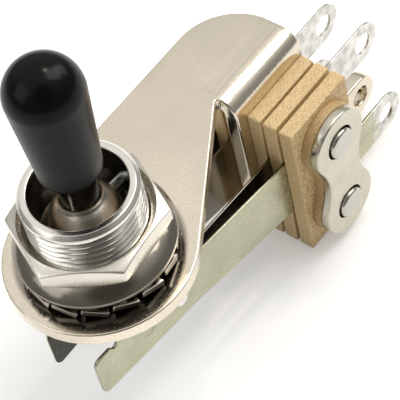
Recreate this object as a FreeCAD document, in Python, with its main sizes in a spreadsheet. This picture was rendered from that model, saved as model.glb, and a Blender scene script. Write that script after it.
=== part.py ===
import FreeCAD, Part

import math
import os

import Sketcher

# Three-position toggle switch with a right-angle contact stack.
# Frame: origin on the bushing axis at the top face of the frame plate,
# +Z up the bushing towards the lever tip, +X towards the stack and its lugs.
# Left is the +Y side and right is the -Y side. Lengths are in millimetres.

DIMENSIONS = [
    ("sheet", 1.6, "frame sheet thickness"),
    ("end_radius", 9.8, "round end of the plate, and its half width"),
    ("bend_outer", 2.4, "outer radius of the fold"),
    ("flange_ahead", 6.2, "front edge of the flange ahead of the screws"),
    ("flange_behind", 5.05, "rear edge of the flange behind the screws"),
    ("corner_radius", 6.65, "rear corner of the plate"),
    ("flange_drop", 22.6, "depth of the flange below the plate top"),
    ("flange_corner", 1.5, "rounded lower corners of the flange"),
    ("ground_drop", 19.0, "depth of the frame's own lug"),
    ("thread_radius", 5.95, "bushing thread, outside"),
    ("thread_pitch", 0.794, "distance from one thread groove to the next"),
    ("thread_depth", 0.42, "depth of the thread grooves"),
    ("thread_first", 1.2, "lowest thread groove above the plate"),
    ("thread_grooves", 11, "thread grooves along the bushing"),
    ("bushing_top", 10.4, "bushing height above the plate"),
    ("bushing_chamfer", 0.45, "lead-in at the top of the thread"),
    ("bore_radius", 4.9, "upper bore of the bushing"),
    ("throat_radius", 3.3, "hole under the ball"),
    ("cone_top", 4.6, "upper end of the ball seat"),
    ("cone_foot", 3.3, "lower end of the ball seat"),
    ("spigot_radius", 5.3, "bushing spigot through the plate"),
    ("staking_radius", 6.3, "spigot end staked under the plate"),
    ("staking_depth", 0.8, "thickness of the staked edge"),
    ("nut_flats", 14.0, "nut across flats"),
    ("nut_thickness", 2.4, "nut thickness"),
    ("nut_lift", 4.1, "nut underside above the plate"),
    ("nut_turn", 5.4, "angle of one nut corner from +X, degrees"),
    ("nut_countersink", 6.8, "countersink radius on the nut's top face"),
    ("bevel_start", 6.95, "radius where the cones of the nut's faces start"),
    ("corner_bevel", 0.75, "how much the cones take off the nut's corners"),
    ("thread_gap", 0.05, "radial clearance of the nut"),
    ("washer_gap", 0.15, "radial clearance of the washers"),
    ("dish_radius", 8.15, "outside of the domed washer"),
    ("dish_top", 2.5, "rim of the domed washer above the plate"),
    ("dish_sheet", 0.45, "domed washer thickness"),
    ("dish_curve", 4.4, "radius of the domed washer's rounded top"),
    ("dish_gap", 0.05, "gap between the domed washer and the nut"),
    ("tooth_radius", 7.9, "outside of the lock washer's teeth"),
    ("tooth_root", 7.0, "root circle of the lock washer's teeth"),
    ("tooth_width", 2.75, "width of a tooth at its end"),
    ("tooth_root_width", 2.3, "width of a tooth where it leaves the ring"),
    ("tooth_start", 4.0, "twist of a tooth where it leaves the ring, degrees"),
    ("tooth_twist", 18.0, "twist of a tooth at its end, degrees"),
    ("tooth_turn", 15.0, "angle of the first tooth from +X, degrees"),
    ("tooth_embed", 0.15, "how far a tooth's twist starts inside the root circle"),
    ("lock_thickness", 0.7, "lock washer thickness"),
    ("tooth_count", 16, "teeth of the lock washer"),
    ("ball_radius", 3.75, "ball of the lever"),
    ("pivot_height", 5.6, "ball centre above the plate"),
    ("neck_radius", 1.9, "lever above the ball"),
    ("neck_fillet", 1.2, "fillet where the neck leaves the ball"),
    ("stud_radius", 1.6, "stud inside the tip"),
    ("stud_top", 20.0, "end of the stud"),
    ("shank_radius", 1.5, "lever below the ball"),
    ("spigot_pin_radius", 1.0, "thin end of the lever inside the follower"),
    ("pin_radius", 0.8, "cross pin through the ball"),
    ("pin_gap", 0.05, "radial running clearance of the cross pin"),
    ("pin_half", 5.4, "half length of the cross pin"),
    ("tip_foot", 13.1, "lower edge of the tip"),
    ("tip_foot_radius", 3.1, "tip at its lower edge"),
    ("tip_radius", 3.85, "round top of the tip"),
    ("tip_height", 28.1, "top of the tip"),
    ("tip_edge", 0.8, "rounded lower edge of the tip"),
    ("tip_grip", 1.0, "how far the tip reaches down over the neck"),
    ("follower_gap", 0.15, "gap between the follower and each dimple"),
    ("follower_crown", 0.55, "bulge of the follower's barrel"),
    ("follower_height", 5.0, "length of the follower"),
    ("follower_floor", 0.5, "closed lower end of the follower"),
    ("follower_drop", 10.0, "follower middle below the plate top"),
    ("block_ahead", 4.8, "front faces of the insulators ahead of the screws"),
    ("block_behind", 4.7, "rear faces of the insulators behind the screws"),
    ("block_top", 3.0, "insulator top below the plate top"),
    ("block_foot", 22.7, "insulator bottom below the plate top"),
    ("block_thickness", 1.65, "insulator thickness"),
    ("leaf_sheet", 0.3, "contact leaf thickness"),
    ("blade_sheet", 0.4, "spring blade thickness"),
    ("screw_reach", 27.0, "clamp screws behind the bushing axis"),
    ("upper_screw", 7.6, "upper screw below the plate top"),
    ("lower_screw", 18.0, "lower screw below the plate top"),
    ("sleeve_radius", 2.3, "insulating sleeve, outside"),
    ("sleeve_gap", 0.05, "clearance of the sleeve in its holes"),
    ("screw_radius", 1.75, "clamp screw"),
    ("screw_gap", 0.1, "clearance of the screw in the sleeve"),
    ("head_radius", 3.1, "screw head"),
    ("head_height", 2.2, "screw head height"),
    ("head_edge", 0.7, "rounded edge of the screw head"),
    ("slot_width", 0.9, "screwdriver slot"),
    ("slot_depth", 1.0, "screwdriver slot depth"),
    ("screw_recess", 0.35, "screw end below the clamp plate face"),
    ("spacer_thickness", 1.1, "figure-eight fibre spacer"),
    ("clamp_thickness", 1.1, "figure-eight clamp plate"),
    ("lobe_radius", 3.9, "lobes of the figure-eight plates"),
    ("waist_half", 2.6, "half width of their waist"),
    ("clamp_hole", 1.95, "hole in the clamp plate"),
    ("pad_inset", 1.0, "leaf edges inside the insulator edges"),
    ("leaf_front", 3.3, "free end of the contact leaf"),
    ("leaf_top", 9.2, "upper edge of the contact leaf at the stack"),
    ("leaf_tip_top", 8.2, "upper edge of the contact leaf at its free end"),
    ("leaf_foot", 14.4, "lower edge of the contact leaf at its free end"),
    ("leaf_root_foot", 18.2, "lower edge of the contact leaf at the stack"),
    ("blade_front", 7.4, "free end of the spring blade, past the axis"),
    ("blade_half_gap", 3.15, "blade middle plane at its free end"),
    ("blade_root_top", 8.8, "blade's upper edge at the stack"),
    ("blade_tip_top", 7.0, "blade's upper edge at the step"),
    ("blade_root_foot", 16.85, "blade's lower edge at the stack"),
    ("blade_mid_foot", 14.75, "blade's lower edge at the taper's end"),
    ("blade_tip_foot", 13.9, "blade's lower edge at its free end"),
    ("taper_end", 7.0, "where the blade's taper ends"),
    ("step_front", 4.15, "step in the blade's upper edge, past the axis"),
    ("step_drop", 1.25, "height of that step"),
    ("notch_radius", 0.4, "round relief notch at the foot of the step"),
    ("blade_corner", 0.9, "rounded corners of the blade's end"),
    ("dimple_radius", 2.3, "footprint of the blade's bearing dimple"),
    ("dimple_depth", 0.65, "how far the dimple is pressed inwards"),
    ("contact_reach", 4.9, "contacts behind the bushing axis"),
    ("contact_drop", 12.2, "contacts below the plate top"),
    ("contact_radius", 1.3, "contact head"),
    ("contact_dome", 0.15, "crown of the contact head"),
    ("rivet_radius", 0.75, "contact shank"),
    ("lug_past", 12.3, "lug holes behind the screws"),
    ("lug_radius", 2.5, "round end and half width of a lug"),
    ("lug_hole", 1.25, "wire hole in a lug"),
    ("upper_lug", 8.0, "upper lugs below the plate top"),
    ("lower_lug", 18.6, "lower lugs below the plate top"),
    ("ground_past", 13.0, "hole of the frame's own lug behind the screws"),
]

# Extra height for cutting and intersecting solids that run past a face.
PAST = 1.0
HEX_SIDES = 6


class Size:
    """A length that knows its value and its formula in the sheet's names."""

    def __init__(self, value, text):
        self.value = value
        self.text = text

    def __add__(self, other):
        other = as_size(other)
        return Size(self.value + other.value, "(%s + %s)" % (self.text, other.text))

    def __sub__(self, other):
        other = as_size(other)
        return Size(self.value - other.value, "(%s - %s)" % (self.text, other.text))

    def __mul__(self, other):
        other = as_size(other)
        return Size(self.value * other.value, "(%s * %s)" % (self.text, other.text))

    def __truediv__(self, other):
        other = as_size(other)
        return Size(self.value / other.value, "(%s / %s)" % (self.text, other.text))

    def __neg__(self):
        return Size(-self.value, "(0 - %s)" % self.text)

    def root(self):
        return Size(math.sqrt(self.value), "sqrt(%s)" % self.text)


def as_size(number):
    if isinstance(number, Size):
        return number
    return Size(float(number), "(%r)" % float(number))


def cosine(turn):
    """Cosine of an angle in degrees."""
    return Size(math.cos(math.radians(turn.value)), "cos(%s * 1 deg)" % turn.text)


def sine(turn):
    """Sine of an angle in degrees."""
    return Size(math.sin(math.radians(turn.value)), "sin(%s * 1 deg)" % turn.text)


doc = FreeCAD.newDocument("toggle_switch")
sheet = doc.addObject("Spreadsheet::Sheet", "Dims")
for row, (alias, number, meaning) in enumerate(DIMENSIONS, start=1):
    sheet.set("A%d" % row, alias)
    sheet.set("B%d" % row, str(number))
    sheet.set("C%d" % row, meaning)
    sheet.setAlias("B%d" % row, alias)
doc.recompute()


class Dims:
    """Named sizes: Dims.sheet is the value and the formula of that cell."""


for alias, number, meaning in DIMENSIONS:
    setattr(Dims, alias, Size(float(number), "Dims.%s" % alias))

D = Dims
NODES = []


def bind(thing, prop, size):
    thing.setExpression(prop, as_size(size).text)


def node(thing, name):
    """Name a finished sub-part: its label is the name of its file."""
    thing.Label = name
    NODES.append(thing)
    return thing


def origin_plane(body, role):
    for feature in body.Origin.OriginFeatures:
        if feature.Role == role:
            return feature
    raise ValueError(role)


def new_body(name):
    return doc.addObject("PartDesign::Body", name)


def new_sketch(body, name, plane, offset=0.0):
    sketch = body.newObject("Sketcher::SketchObject", name)
    sketch.AttachmentSupport = [(origin_plane(body, plane), "")]
    sketch.MapMode = "FlatFace"
    shift = as_size(offset)
    sketch.AttachmentOffset = FreeCAD.Placement(
        FreeCAD.Vector(0, 0, shift.value), FreeCAD.Rotation()
    )
    bind(sketch, ".AttachmentOffset.Base.z", shift)
    return sketch


def hold_point(sketch, geometry, end, x, y):
    """Tie one point of a sketch to its two coordinates."""
    for kind, size in (("DistanceX", x), ("DistanceY", y)):
        size = as_size(size)
        index = sketch.addConstraint(
            Sketcher.Constraint(kind, -1, 1, geometry, end, size.value)
        )
        sketch.setExpression("Constraints[%d]" % index, size.text)


def hold_across(sketch, geometry, x):
    """Tie the centre of a half circle to the x of its two ends."""
    x = as_size(x)
    index = sketch.addConstraint(
        Sketcher.Constraint("DistanceX", -1, 1, geometry, 3, x.value)
    )
    sketch.setExpression("Constraints[%d]" % index, x.text)


def hold_radius(sketch, geometry, radius):
    radius = as_size(radius)
    index = sketch.addConstraint(Sketcher.Constraint("Radius", geometry, radius.value))
    sketch.setExpression("Constraints[%d]" % index, radius.text)


def arc_through(start, finish, radius, side, large):
    """The arc from start to finish; side is +1 if it turns left, -1 if right."""
    chord = finish - start
    half = chord.Length / 2.0
    normal = FreeCAD.Vector(-chord.y, chord.x, 0)
    normal.normalize()
    rise = math.sqrt(max(radius * radius - half * half, 0.0))
    towards = -1.0 if large else 1.0
    centre = (start + finish) / 2.0 + normal * (rise * side * towards)
    first = math.atan2(start.y - centre.y, start.x - centre.x)
    last = math.atan2(finish.y - centre.y, finish.x - centre.x)
    circle = Part.Circle(centre, FreeCAD.Vector(0, 0, 1), radius)
    if side > 0:
        return Part.ArcOfCircle(circle, first, last), 1, 2
    return Part.ArcOfCircle(circle, last, first), 2, 1


def outline(sketch, path):
    """Draw a closed outline. Each step is (x, y) for a straight edge to that
    point, or (x, y, radius, side) for an arc. A fifth entry says that the arc
    is the "large" one, or a "half" circle between two points of one x."""
    points = [FreeCAD.Vector(as_size(p[0]).value, as_size(p[1]).value, 0) for p in path]
    ends = []
    for index, step in enumerate(path):
        start = points[index - 1]
        finish = points[index]
        if len(step) == 2:
            geometry = sketch.addGeometry(Part.LineSegment(start, finish), False)
            ends.append((geometry, 1, 2))
        else:
            kind = step[4] if len(step) > 4 else "small"
            radius = as_size(step[2])
            arc, first, last = arc_through(
                start, finish, radius.value, step[3], kind == "large"
            )
            geometry = sketch.addGeometry(arc, False)
            if kind == "half":
                hold_across(sketch, geometry, step[0])
            else:
                hold_radius(sketch, geometry, radius)
            ends.append((geometry, first, last))
    for index, step in enumerate(path):
        geometry, first, last = ends[index]
        after = ends[(index + 1) % len(path)]
        sketch.addConstraint(
            Sketcher.Constraint("Coincident", geometry, last, after[0], after[1])
        )
        hold_point(sketch, geometry, last, step[0], step[1])


def circle(sketch, x, y, radius):
    centre = FreeCAD.Vector(as_size(x).value, as_size(y).value, 0)
    shape = Part.Circle(centre, FreeCAD.Vector(0, 0, 1), as_size(radius).value)
    geometry = sketch.addGeometry(shape, False)
    hold_point(sketch, geometry, 3, x, y)
    hold_radius(sketch, geometry, radius)


def pad(body, name, sketch, length, reverse=False, middle=False):
    feature = body.newObject("PartDesign::Pad", name)
    feature.Profile = sketch
    bind(feature, "Length", length)
    feature.Reversed = reverse
    feature.Midplane = middle
    return feature


def pocket(body, name, sketch, length, reverse=False, middle=False):
    feature = body.newObject("PartDesign::Pocket", name)
    feature.Profile = sketch
    bind(feature, "Length", length)
    feature.Reversed = reverse
    feature.Midplane = middle
    return feature


def revolve(body, name, sketch):
    feature = body.newObject("PartDesign::Revolution", name)
    feature.Profile = sketch
    feature.ReferenceAxis = (sketch, ["V_Axis"])
    feature.Angle = 360.0
    return feature


def groove(body, name, sketch):
    feature = body.newObject("PartDesign::Groove", name)
    feature.Profile = sketch
    feature.ReferenceAxis = (sketch, ["V_Axis"])
    feature.Angle = 360.0
    return feature


def boolean(kind, name, base, tool):
    feature = doc.addObject("Part::" + kind, name)
    feature.Base = base
    feature.Tool = tool
    return feature


def turned(name, path):
    """A turned piece about the bushing axis, from its half section (r, z)."""
    body = new_body(name)
    sketch = new_sketch(body, name + "_section", "XZ_Plane")
    outline(sketch, path)
    revolve(body, name + "_turning", sketch)
    return body


def screw_centres():
    return ((D.screw_reach, -D.upper_screw), (D.screw_reach, -D.lower_screw))


# Places along the stack, all held to its screws.
fold_front = D.screw_reach - D.flange_ahead
fold_rear = D.screw_reach + D.flange_behind
block_front = D.screw_reach - D.block_ahead
block_rear = D.screw_reach + D.block_behind
lug_reach = D.screw_reach + D.lug_past
ground_reach = D.screw_reach + D.ground_past

# Distances of the stack's faces from its middle plane, from the inside out.
flange_face = D.sheet / 2
leaf_inner = flange_face + D.block_thickness
leaf_outer = leaf_inner + D.leaf_sheet
blade_inner = leaf_outer + D.block_thickness
blade_outer = blade_inner + D.blade_sheet
stack_face = blade_outer + D.block_thickness
spacer_face = stack_face + D.spacer_thickness
clamp_face = spacer_face + D.clamp_thickness
leaf_plane = leaf_inner + D.leaf_sheet / 2
blade_plane = blade_inner + D.blade_sheet / 2
sleeve_hole = D.sleeve_radius + D.sleeve_gap

# The blade leans from its plane in the stack to the half gap at its free end.
blade_lean = (blade_plane - D.blade_half_gap) / (block_front + D.blade_front)


def blade_middle(x):
    """Distance of the blade's middle plane from the stack's middle plane."""
    return blade_plane - (block_front - x) * blade_lean


dimple_apex = blade_middle(as_size(0)) - D.blade_sheet / 2 - D.dimple_depth
follower_radius = dimple_apex - D.follower_gap
follower_foot = -D.follower_drop - D.follower_height / 2
follower_top = -D.follower_drop + D.follower_height / 2
follower_inside = follower_foot + D.follower_floor

# The twisted teeth lift the lock washer's ring off the plate.
tooth_rise = (sine(D.tooth_twist) * D.tooth_width
              + cosine(D.tooth_twist) * D.lock_thickness) / 2
lock_foot = tooth_rise - D.lock_thickness / 2
lock_top = tooth_rise + D.lock_thickness / 2


def slab(name, side, inner, outer, path, holes):
    """A flat piece of the stack, drawn from the side, between two distances
    from the middle plane. side is +1 for the left and -1 for the right."""
    body = new_body(name)
    far = outer if side > 0 else -inner
    sketch = new_sketch(body, name + "_outline", "XZ_Plane", -far)
    outline(sketch, path)
    for x, z, radius in holes:
        circle(sketch, x, z, radius)
    pad(body, name + "_pad", sketch, outer - inner)
    return body


def frame_plate():
    """Plate, fold, flange and the frame's own lug: one folded sheet."""
    body = new_body("FrameBody")
    inner_bend = D.bend_outer - D.sheet
    bend_line = D.bend_outer - flange_face

    section = new_sketch(body, "fold_section", "YZ_Plane", fold_front)
    outline(section, [
        (D.end_radius, 0),
        (bend_line, 0),
        (-flange_face, -D.bend_outer, D.bend_outer, 1),
        (-flange_face, -D.flange_drop),
        (flange_face, -D.flange_drop),
        (flange_face, -D.bend_outer),
        (bend_line, -D.sheet, inner_bend, -1),
        (D.end_radius, -D.sheet),
    ])
    pad(body, "fold", section, fold_rear - fold_front)

    # The slanting edge touches the round end and runs to the fold.
    reach = (fold_front * fold_front + bend_line * bend_line)
    tangent = (reach - D.end_radius * D.end_radius).root()
    touch_x = (fold_front * D.end_radius * D.end_radius
               + bend_line * D.end_radius * tangent) / reach
    touch_y = (bend_line * D.end_radius * D.end_radius
               - fold_front * D.end_radius * tangent) / reach
    top = new_sketch(body, "plate_outline", "XY_Plane")
    outline(top, [
        (fold_front, D.end_radius),
        (0, D.end_radius),
        (touch_x, touch_y, D.end_radius, 1, "large"),
        (fold_front, bend_line),
    ])
    pad(body, "plate", top, D.sheet, reverse=True)

    corner_x = fold_rear - D.corner_radius
    corner_y = D.end_radius - D.corner_radius
    corner = new_sketch(body, "corner_outline", "XY_Plane")
    outline(corner, [
        (fold_rear + PAST, D.end_radius + PAST),
        (corner_x, D.end_radius + PAST),
        (corner_x, D.end_radius),
        (fold_rear, corner_y, D.corner_radius, -1),
        (fold_rear + PAST, corner_y),
    ])
    pocket(body, "rear_corner", corner, D.sheet)

    seat = new_sketch(body, "bushing_hole_outline", "XY_Plane")
    circle(seat, 0, 0, D.spigot_radius)
    pocket(body, "bushing_hole", seat, D.sheet)

    lug = new_sketch(body, "ground_lug_outline", "XZ_Plane")
    outline(lug, lug_outline(fold_rear - PAST, ground_reach, D.ground_drop))
    pad(body, "ground_lug", lug, D.sheet, middle=True)

    holes = new_sketch(body, "flange_holes_outline", "XZ_Plane")
    for x, z in screw_centres():
        circle(holes, x, z, sleeve_hole)
    circle(holes, ground_reach, -D.ground_drop, D.lug_hole)
    pocket(body, "flange_holes", holes, D.sheet * 2, middle=True)

    foot = new_sketch(body, "flange_corner_outline", "XZ_Plane")
    outline(foot, [
        (fold_front - PAST, -D.flange_drop - PAST),
        (fold_front + D.flange_corner, -D.flange_drop - PAST),
        (fold_front + D.flange_corner, -D.flange_drop),
        (fold_front, -D.flange_drop + D.flange_corner, D.flange_corner, -1),
        (fold_front - PAST, -D.flange_drop + D.flange_corner),
    ])
    pocket(body, "flange_corner_cut", foot, D.sheet * 2, middle=True)
    return node(body, "frame_plate")


def lug_outline(root_x, hole_x, drop):
    """A solder lug with a round end, seen from the side."""
    return [
        (root_x, -drop - D.lug_radius),
        (hole_x, -drop - D.lug_radius),
        (hole_x, -drop + D.lug_radius, D.lug_radius, 1, "half"),
        (root_x, -drop + D.lug_radius),
    ]


def bushing():
    foot = -D.sheet - D.staking_depth
    body = turned("BushingBody", [
        (D.throat_radius, foot),
        (D.staking_radius - D.staking_depth / 2, foot),
        (D.staking_radius, -D.sheet - D.staking_depth / 2),
        (D.staking_radius, -D.sheet),
        (D.spigot_radius, -D.sheet),
        (D.spigot_radius, 0),
        (D.thread_radius, 0),
        (D.thread_radius, D.bushing_top - D.bushing_chamfer),
        (D.thread_radius - D.bushing_chamfer, D.bushing_top),
        (D.bore_radius, D.bushing_top),
        (D.bore_radius, D.cone_top),
        (D.throat_radius, D.cone_foot),
    ])
    cross = new_sketch(body, "cross_hole_outline", "YZ_Plane")
    circle(cross, 0, D.pivot_height, D.pin_radius)
    pocket(body, "cross_hole", cross, D.pin_half * 2, middle=True)

    # The thread is drawn as plain rings of its pitch, not as a helix.
    half_mouth = D.thread_pitch * 0.45
    section = new_sketch(body, "thread_groove_section", "XZ_Plane")
    outline(section, [
        (D.thread_radius, D.thread_first - half_mouth),
        (D.thread_radius + PAST, D.thread_first - half_mouth),
        (D.thread_radius + PAST, D.thread_first + half_mouth),
        (D.thread_radius, D.thread_first + half_mouth),
        (D.thread_radius - D.thread_depth, D.thread_first),
    ])
    first = groove(body, "thread_groove", section)
    rings = body.newObject("PartDesign::LinearPattern", "thread_grooves")
    rings.Originals = [first]
    rings.Direction = (section, ["V_Axis"])
    bind(rings, "Length", D.thread_pitch * (D.thread_grooves - 1))
    bind(rings, "Occurrences", D.thread_grooves)
    body.Tip = rings
    return node(body, "threaded_bushing")


def hex_path(corner, turn):
    """Corners of a hexagon, the first one at an angle in degrees from +X."""
    sixth = 360.0 / HEX_SIDES
    corners = [turn + sixth * step for step in range(HEX_SIDES)]
    return [(corner * cosine(angle), corner * sine(angle)) for angle in corners]


def hex_nut():
    """Panel nut, countersunk on top, its faces bevelled to the corners."""
    body = new_body("NutBody")
    top = D.nut_lift + D.nut_thickness
    hole = D.thread_radius + D.thread_gap
    corner = D.nut_flats / (cosine(as_size(180.0 / HEX_SIDES)) * 2)
    blank = new_sketch(body, "nut_outline", "XY_Plane", D.nut_lift)
    outline(blank, hex_path(corner, D.nut_turn))
    circle(blank, 0, 0, hole)
    pad(body, "nut_blank", blank, D.nut_thickness)

    sink = new_sketch(body, "countersink_section", "XZ_Plane")
    outline(sink, [
        (hole - PAST, top - (D.nut_countersink - hole)),
        (hole, top - (D.nut_countersink - hole)),
        (D.nut_countersink, top),
        (D.nut_countersink, top + PAST),
        (hole - PAST, top + PAST),
    ])
    groove(body, "countersink", sink)
    for name, face, way in (("upper", top, 1), ("lower", D.nut_lift, -1)):
        bevel = new_sketch(body, name + "_bevel_section", "XZ_Plane")
        outline(bevel, [
            (corner + PAST, face - D.corner_bevel * way),
            (corner, face - D.corner_bevel * way),
            (D.bevel_start, face),
            (D.bevel_start, face + PAST * way),
            (corner + PAST, face + PAST * way),
        ])
        groove(body, name + "_bevels", bevel)
    return node(body, "hex_nut")


def dished_washer():
    """Domed washer: it rises from its rim to the nut's underside."""
    hole = D.thread_radius + D.washer_gap
    crown = D.nut_lift - D.dish_gap
    rim = D.dish_top - D.dish_sheet
    body = turned("DishBody", [
        (hole, crown - D.dish_sheet),
        (D.dish_radius - D.dish_sheet, rim, D.dish_curve - D.dish_sheet, -1),
        (D.dish_radius, rim),
        (D.dish_radius, D.dish_top),
        (hole, crown, D.dish_curve, 1),
    ])
    return node(body, "dished_washer")


def tooth_section(body, name, reach, width, twist):
    """Section of a lock washer tooth across its length, turned by the twist."""
    sketch = new_sketch(body, name, "YZ_Plane", reach)
    half_width = width / 2
    half_height = D.lock_thickness / 2
    corners = []
    for across, up in ((1, 1), (-1, 1), (-1, -1), (1, -1)):
        y = cosine(twist) * half_width * across + sine(twist) * half_height * up
        z = cosine(twist) * half_height * up - sine(twist) * half_width * across
        corners.append((y, tooth_rise + z))
    outline(sketch, corners)
    return sketch


def lock_washer():
    """Lock washer whose teeth are twisted: the ring stands on their corners."""
    body = new_body("LockBody")
    ring = new_sketch(body, "lock_ring_outline", "XY_Plane", lock_foot)
    circle(ring, 0, 0, D.tooth_root)
    circle(ring, 0, 0, D.thread_radius + D.washer_gap)
    pad(body, "lock_ring", ring, D.lock_thickness)
    root = tooth_section(body, "tooth_root_section", D.tooth_root - D.tooth_embed,
                         D.tooth_root_width, D.tooth_start)
    end = tooth_section(body, "tooth_end_section", D.tooth_radius,
                        D.tooth_width, D.tooth_twist)
    tooth = body.newObject("PartDesign::AdditiveLoft", "tooth")
    tooth.Profile = root
    tooth.Sections = [end]
    tooth.Ruled = True
    teeth = body.newObject("PartDesign::PolarPattern", "teeth")
    teeth.Originals = [tooth]
    teeth.Axis = (ring, ["N_Axis"])
    teeth.Angle = 360.0
    bind(teeth, "Occurrences", D.tooth_count)
    body.Tip = teeth
    bind(body, "Placement.Rotation.Angle", D.tooth_turn)
    return node(body, "lock_washer")


def toggle_lever():
    """One turned piece: stud, neck, ball, shank and thin end."""
    fillet_reach = D.neck_radius + D.neck_fillet
    swing = D.ball_radius + D.neck_fillet
    fillet_rise = (swing * swing - fillet_reach * fillet_reach).root()
    share = D.ball_radius / swing
    shank_rise = (D.ball_radius * D.ball_radius - D.shank_radius * D.shank_radius).root()
    body = turned("LeverBody", [
        (0, follower_inside),
        (D.spigot_pin_radius, follower_inside),
        (D.spigot_pin_radius, follower_top),
        (D.shank_radius, follower_top),
        (D.shank_radius, D.pivot_height - shank_rise),
        (fillet_reach * share, D.pivot_height + fillet_rise * share, D.ball_radius, 1),
        (D.neck_radius, D.pivot_height + fillet_rise, D.neck_fillet, -1),
        (D.neck_radius, D.tip_foot + D.tip_grip),
        (D.stud_radius, D.tip_foot + D.tip_grip),
        (D.stud_radius, D.stud_top),
        (0, D.stud_top),
    ])
    cross = new_sketch(body, "ball_hole_outline", "YZ_Plane")
    circle(cross, 0, D.pivot_height, D.pin_radius + D.pin_gap)
    pocket(body, "ball_hole", cross, D.ball_radius * 2 + PAST, middle=True)
    return node(body, "toggle_lever")


def pivot_pin():
    body = new_body("PinBody")
    sketch = new_sketch(body, "pin_outline", "YZ_Plane")
    circle(sketch, 0, D.pivot_height, D.pin_radius)
    pad(body, "pin", sketch, D.pin_half * 2, middle=True)
    return node(body, "pivot_pin")


def lever_tip():
    """Bullet-shaped tip, hollow for the neck and the stud."""
    centre = D.tip_height - D.tip_radius
    body = turned("TipBody", [
        (D.neck_radius, D.tip_foot),
        (D.tip_foot_radius - D.tip_edge, D.tip_foot),
        (D.tip_foot_radius, D.tip_foot + D.tip_edge, D.tip_edge, 1),
        (D.tip_radius, centre),
        (0, D.tip_height, D.tip_radius, 1),
        (0, D.stud_top),
        (D.stud_radius, D.stud_top),
        (D.stud_radius, D.tip_foot + D.tip_grip),
        (D.neck_radius, D.tip_foot + D.tip_grip),
    ])
    return node(body, "lever_tip")


def lever_follower():
    """Barrel pressed on the lever's thin end; it spreads the blades."""
    half = D.follower_height / 2
    bulge = D.follower_crown
    barrel = (half * half + bulge * bulge) / (bulge * 2)
    end_radius = follower_radius - bulge
    body = turned("FollowerBody", [
        (0, follower_foot),
        (end_radius, follower_foot),
        (end_radius, follower_top, barrel, 1),
        (D.spigot_pin_radius, follower_top),
        (D.spigot_pin_radius, follower_inside),
        (0, follower_inside),
    ])
    return node(body, "lever_follower")


def block_path():
    return [
        (block_rear, -D.block_top),
        (block_front, -D.block_top),
        (block_front, -D.block_foot),
        (block_rear, -D.block_foot),
    ]


def insulators(side, word):
    faces = (("inner", flange_face, leaf_inner), ("middle", leaf_outer, blade_inner),
             ("outer", blade_outer, stack_face))
    holes = [(x, z, sleeve_hole) for x, z in screw_centres()]
    for place, inner, outer in faces:
        name = "%s_insulator_%s" % (place, word)
        node(slab(name + "_body", side, inner, outer, block_path(), holes), name)


def eight_path():
    """Figure-eight outline: two round lobes joined by a waist with hollow sides."""
    half = (D.lower_screw - D.upper_screw) / 2
    middle = -(D.lower_screw + D.upper_screw) / 2
    hollow = ((half * half + D.waist_half * D.waist_half - D.lobe_radius * D.lobe_radius)
              / ((D.lobe_radius - D.waist_half) * 2))
    share = D.lobe_radius / (D.lobe_radius + hollow)
    meet_x = (D.waist_half + hollow) * share
    meet_z = half - half * share
    return [
        (D.screw_reach - meet_x, middle + meet_z, D.lobe_radius, 1, "large"),
        (D.screw_reach - meet_x, middle - meet_z, hollow, -1),
        (D.screw_reach + meet_x, middle - meet_z, D.lobe_radius, 1, "large"),
        (D.screw_reach + meet_x, middle + meet_z, hollow, -1),
    ]


def end_plates(side, word):
    spacer_holes = [(x, z, sleeve_hole) for x, z in screw_centres()]
    clamp_holes = [(x, z, D.clamp_hole) for x, z in screw_centres()]
    spacer = slab("spacer_body_" + word, side, stack_face, spacer_face,
                  eight_path(), spacer_holes)
    node(spacer, "end_spacer_" + word)
    clamp = slab("clamp_body_" + word, side, spacer_face, clamp_face,
                 eight_path(), clamp_holes)
    node(clamp, "clamp_plate_" + word)


def contact_leaf(side, word):
    """Inner leaf: a pad in the stack, an upper lug and a straight free arm."""
    pad_front = block_front + D.pad_inset
    pad_rear = block_rear - D.pad_inset
    pad_top = -D.block_top - D.pad_inset
    pad_foot = -D.block_foot + D.pad_inset
    path = [
        (pad_rear, pad_top),
        (pad_front, pad_top),
        (pad_front, -D.leaf_top),
        (D.leaf_front + D.blade_corner, -D.leaf_tip_top),
        (D.leaf_front, -D.leaf_tip_top - D.blade_corner, D.blade_corner, 1),
        (D.leaf_front, -D.leaf_foot + D.blade_corner),
        (D.leaf_front + D.blade_corner, -D.leaf_foot, D.blade_corner, 1),
        (pad_front, -D.leaf_root_foot),
        (pad_front, pad_foot),
        (pad_rear, pad_foot),
        (pad_rear, -D.upper_lug - D.lug_radius),
        (lug_reach, -D.upper_lug - D.lug_radius),
        (lug_reach, -D.upper_lug + D.lug_radius, D.lug_radius, 1, "half"),
        (pad_rear, -D.upper_lug + D.lug_radius),
    ]
    holes = [(x, z, sleeve_hole) for x, z in screw_centres()]
    holes.append((lug_reach, -D.upper_lug, D.lug_hole))
    holes.append((D.contact_reach, -D.contact_drop, D.rivet_radius))
    body = slab("leaf_body_" + word, side, leaf_inner, leaf_outer, path, holes)
    return node(body, "contact_leaf_" + word)


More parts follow.
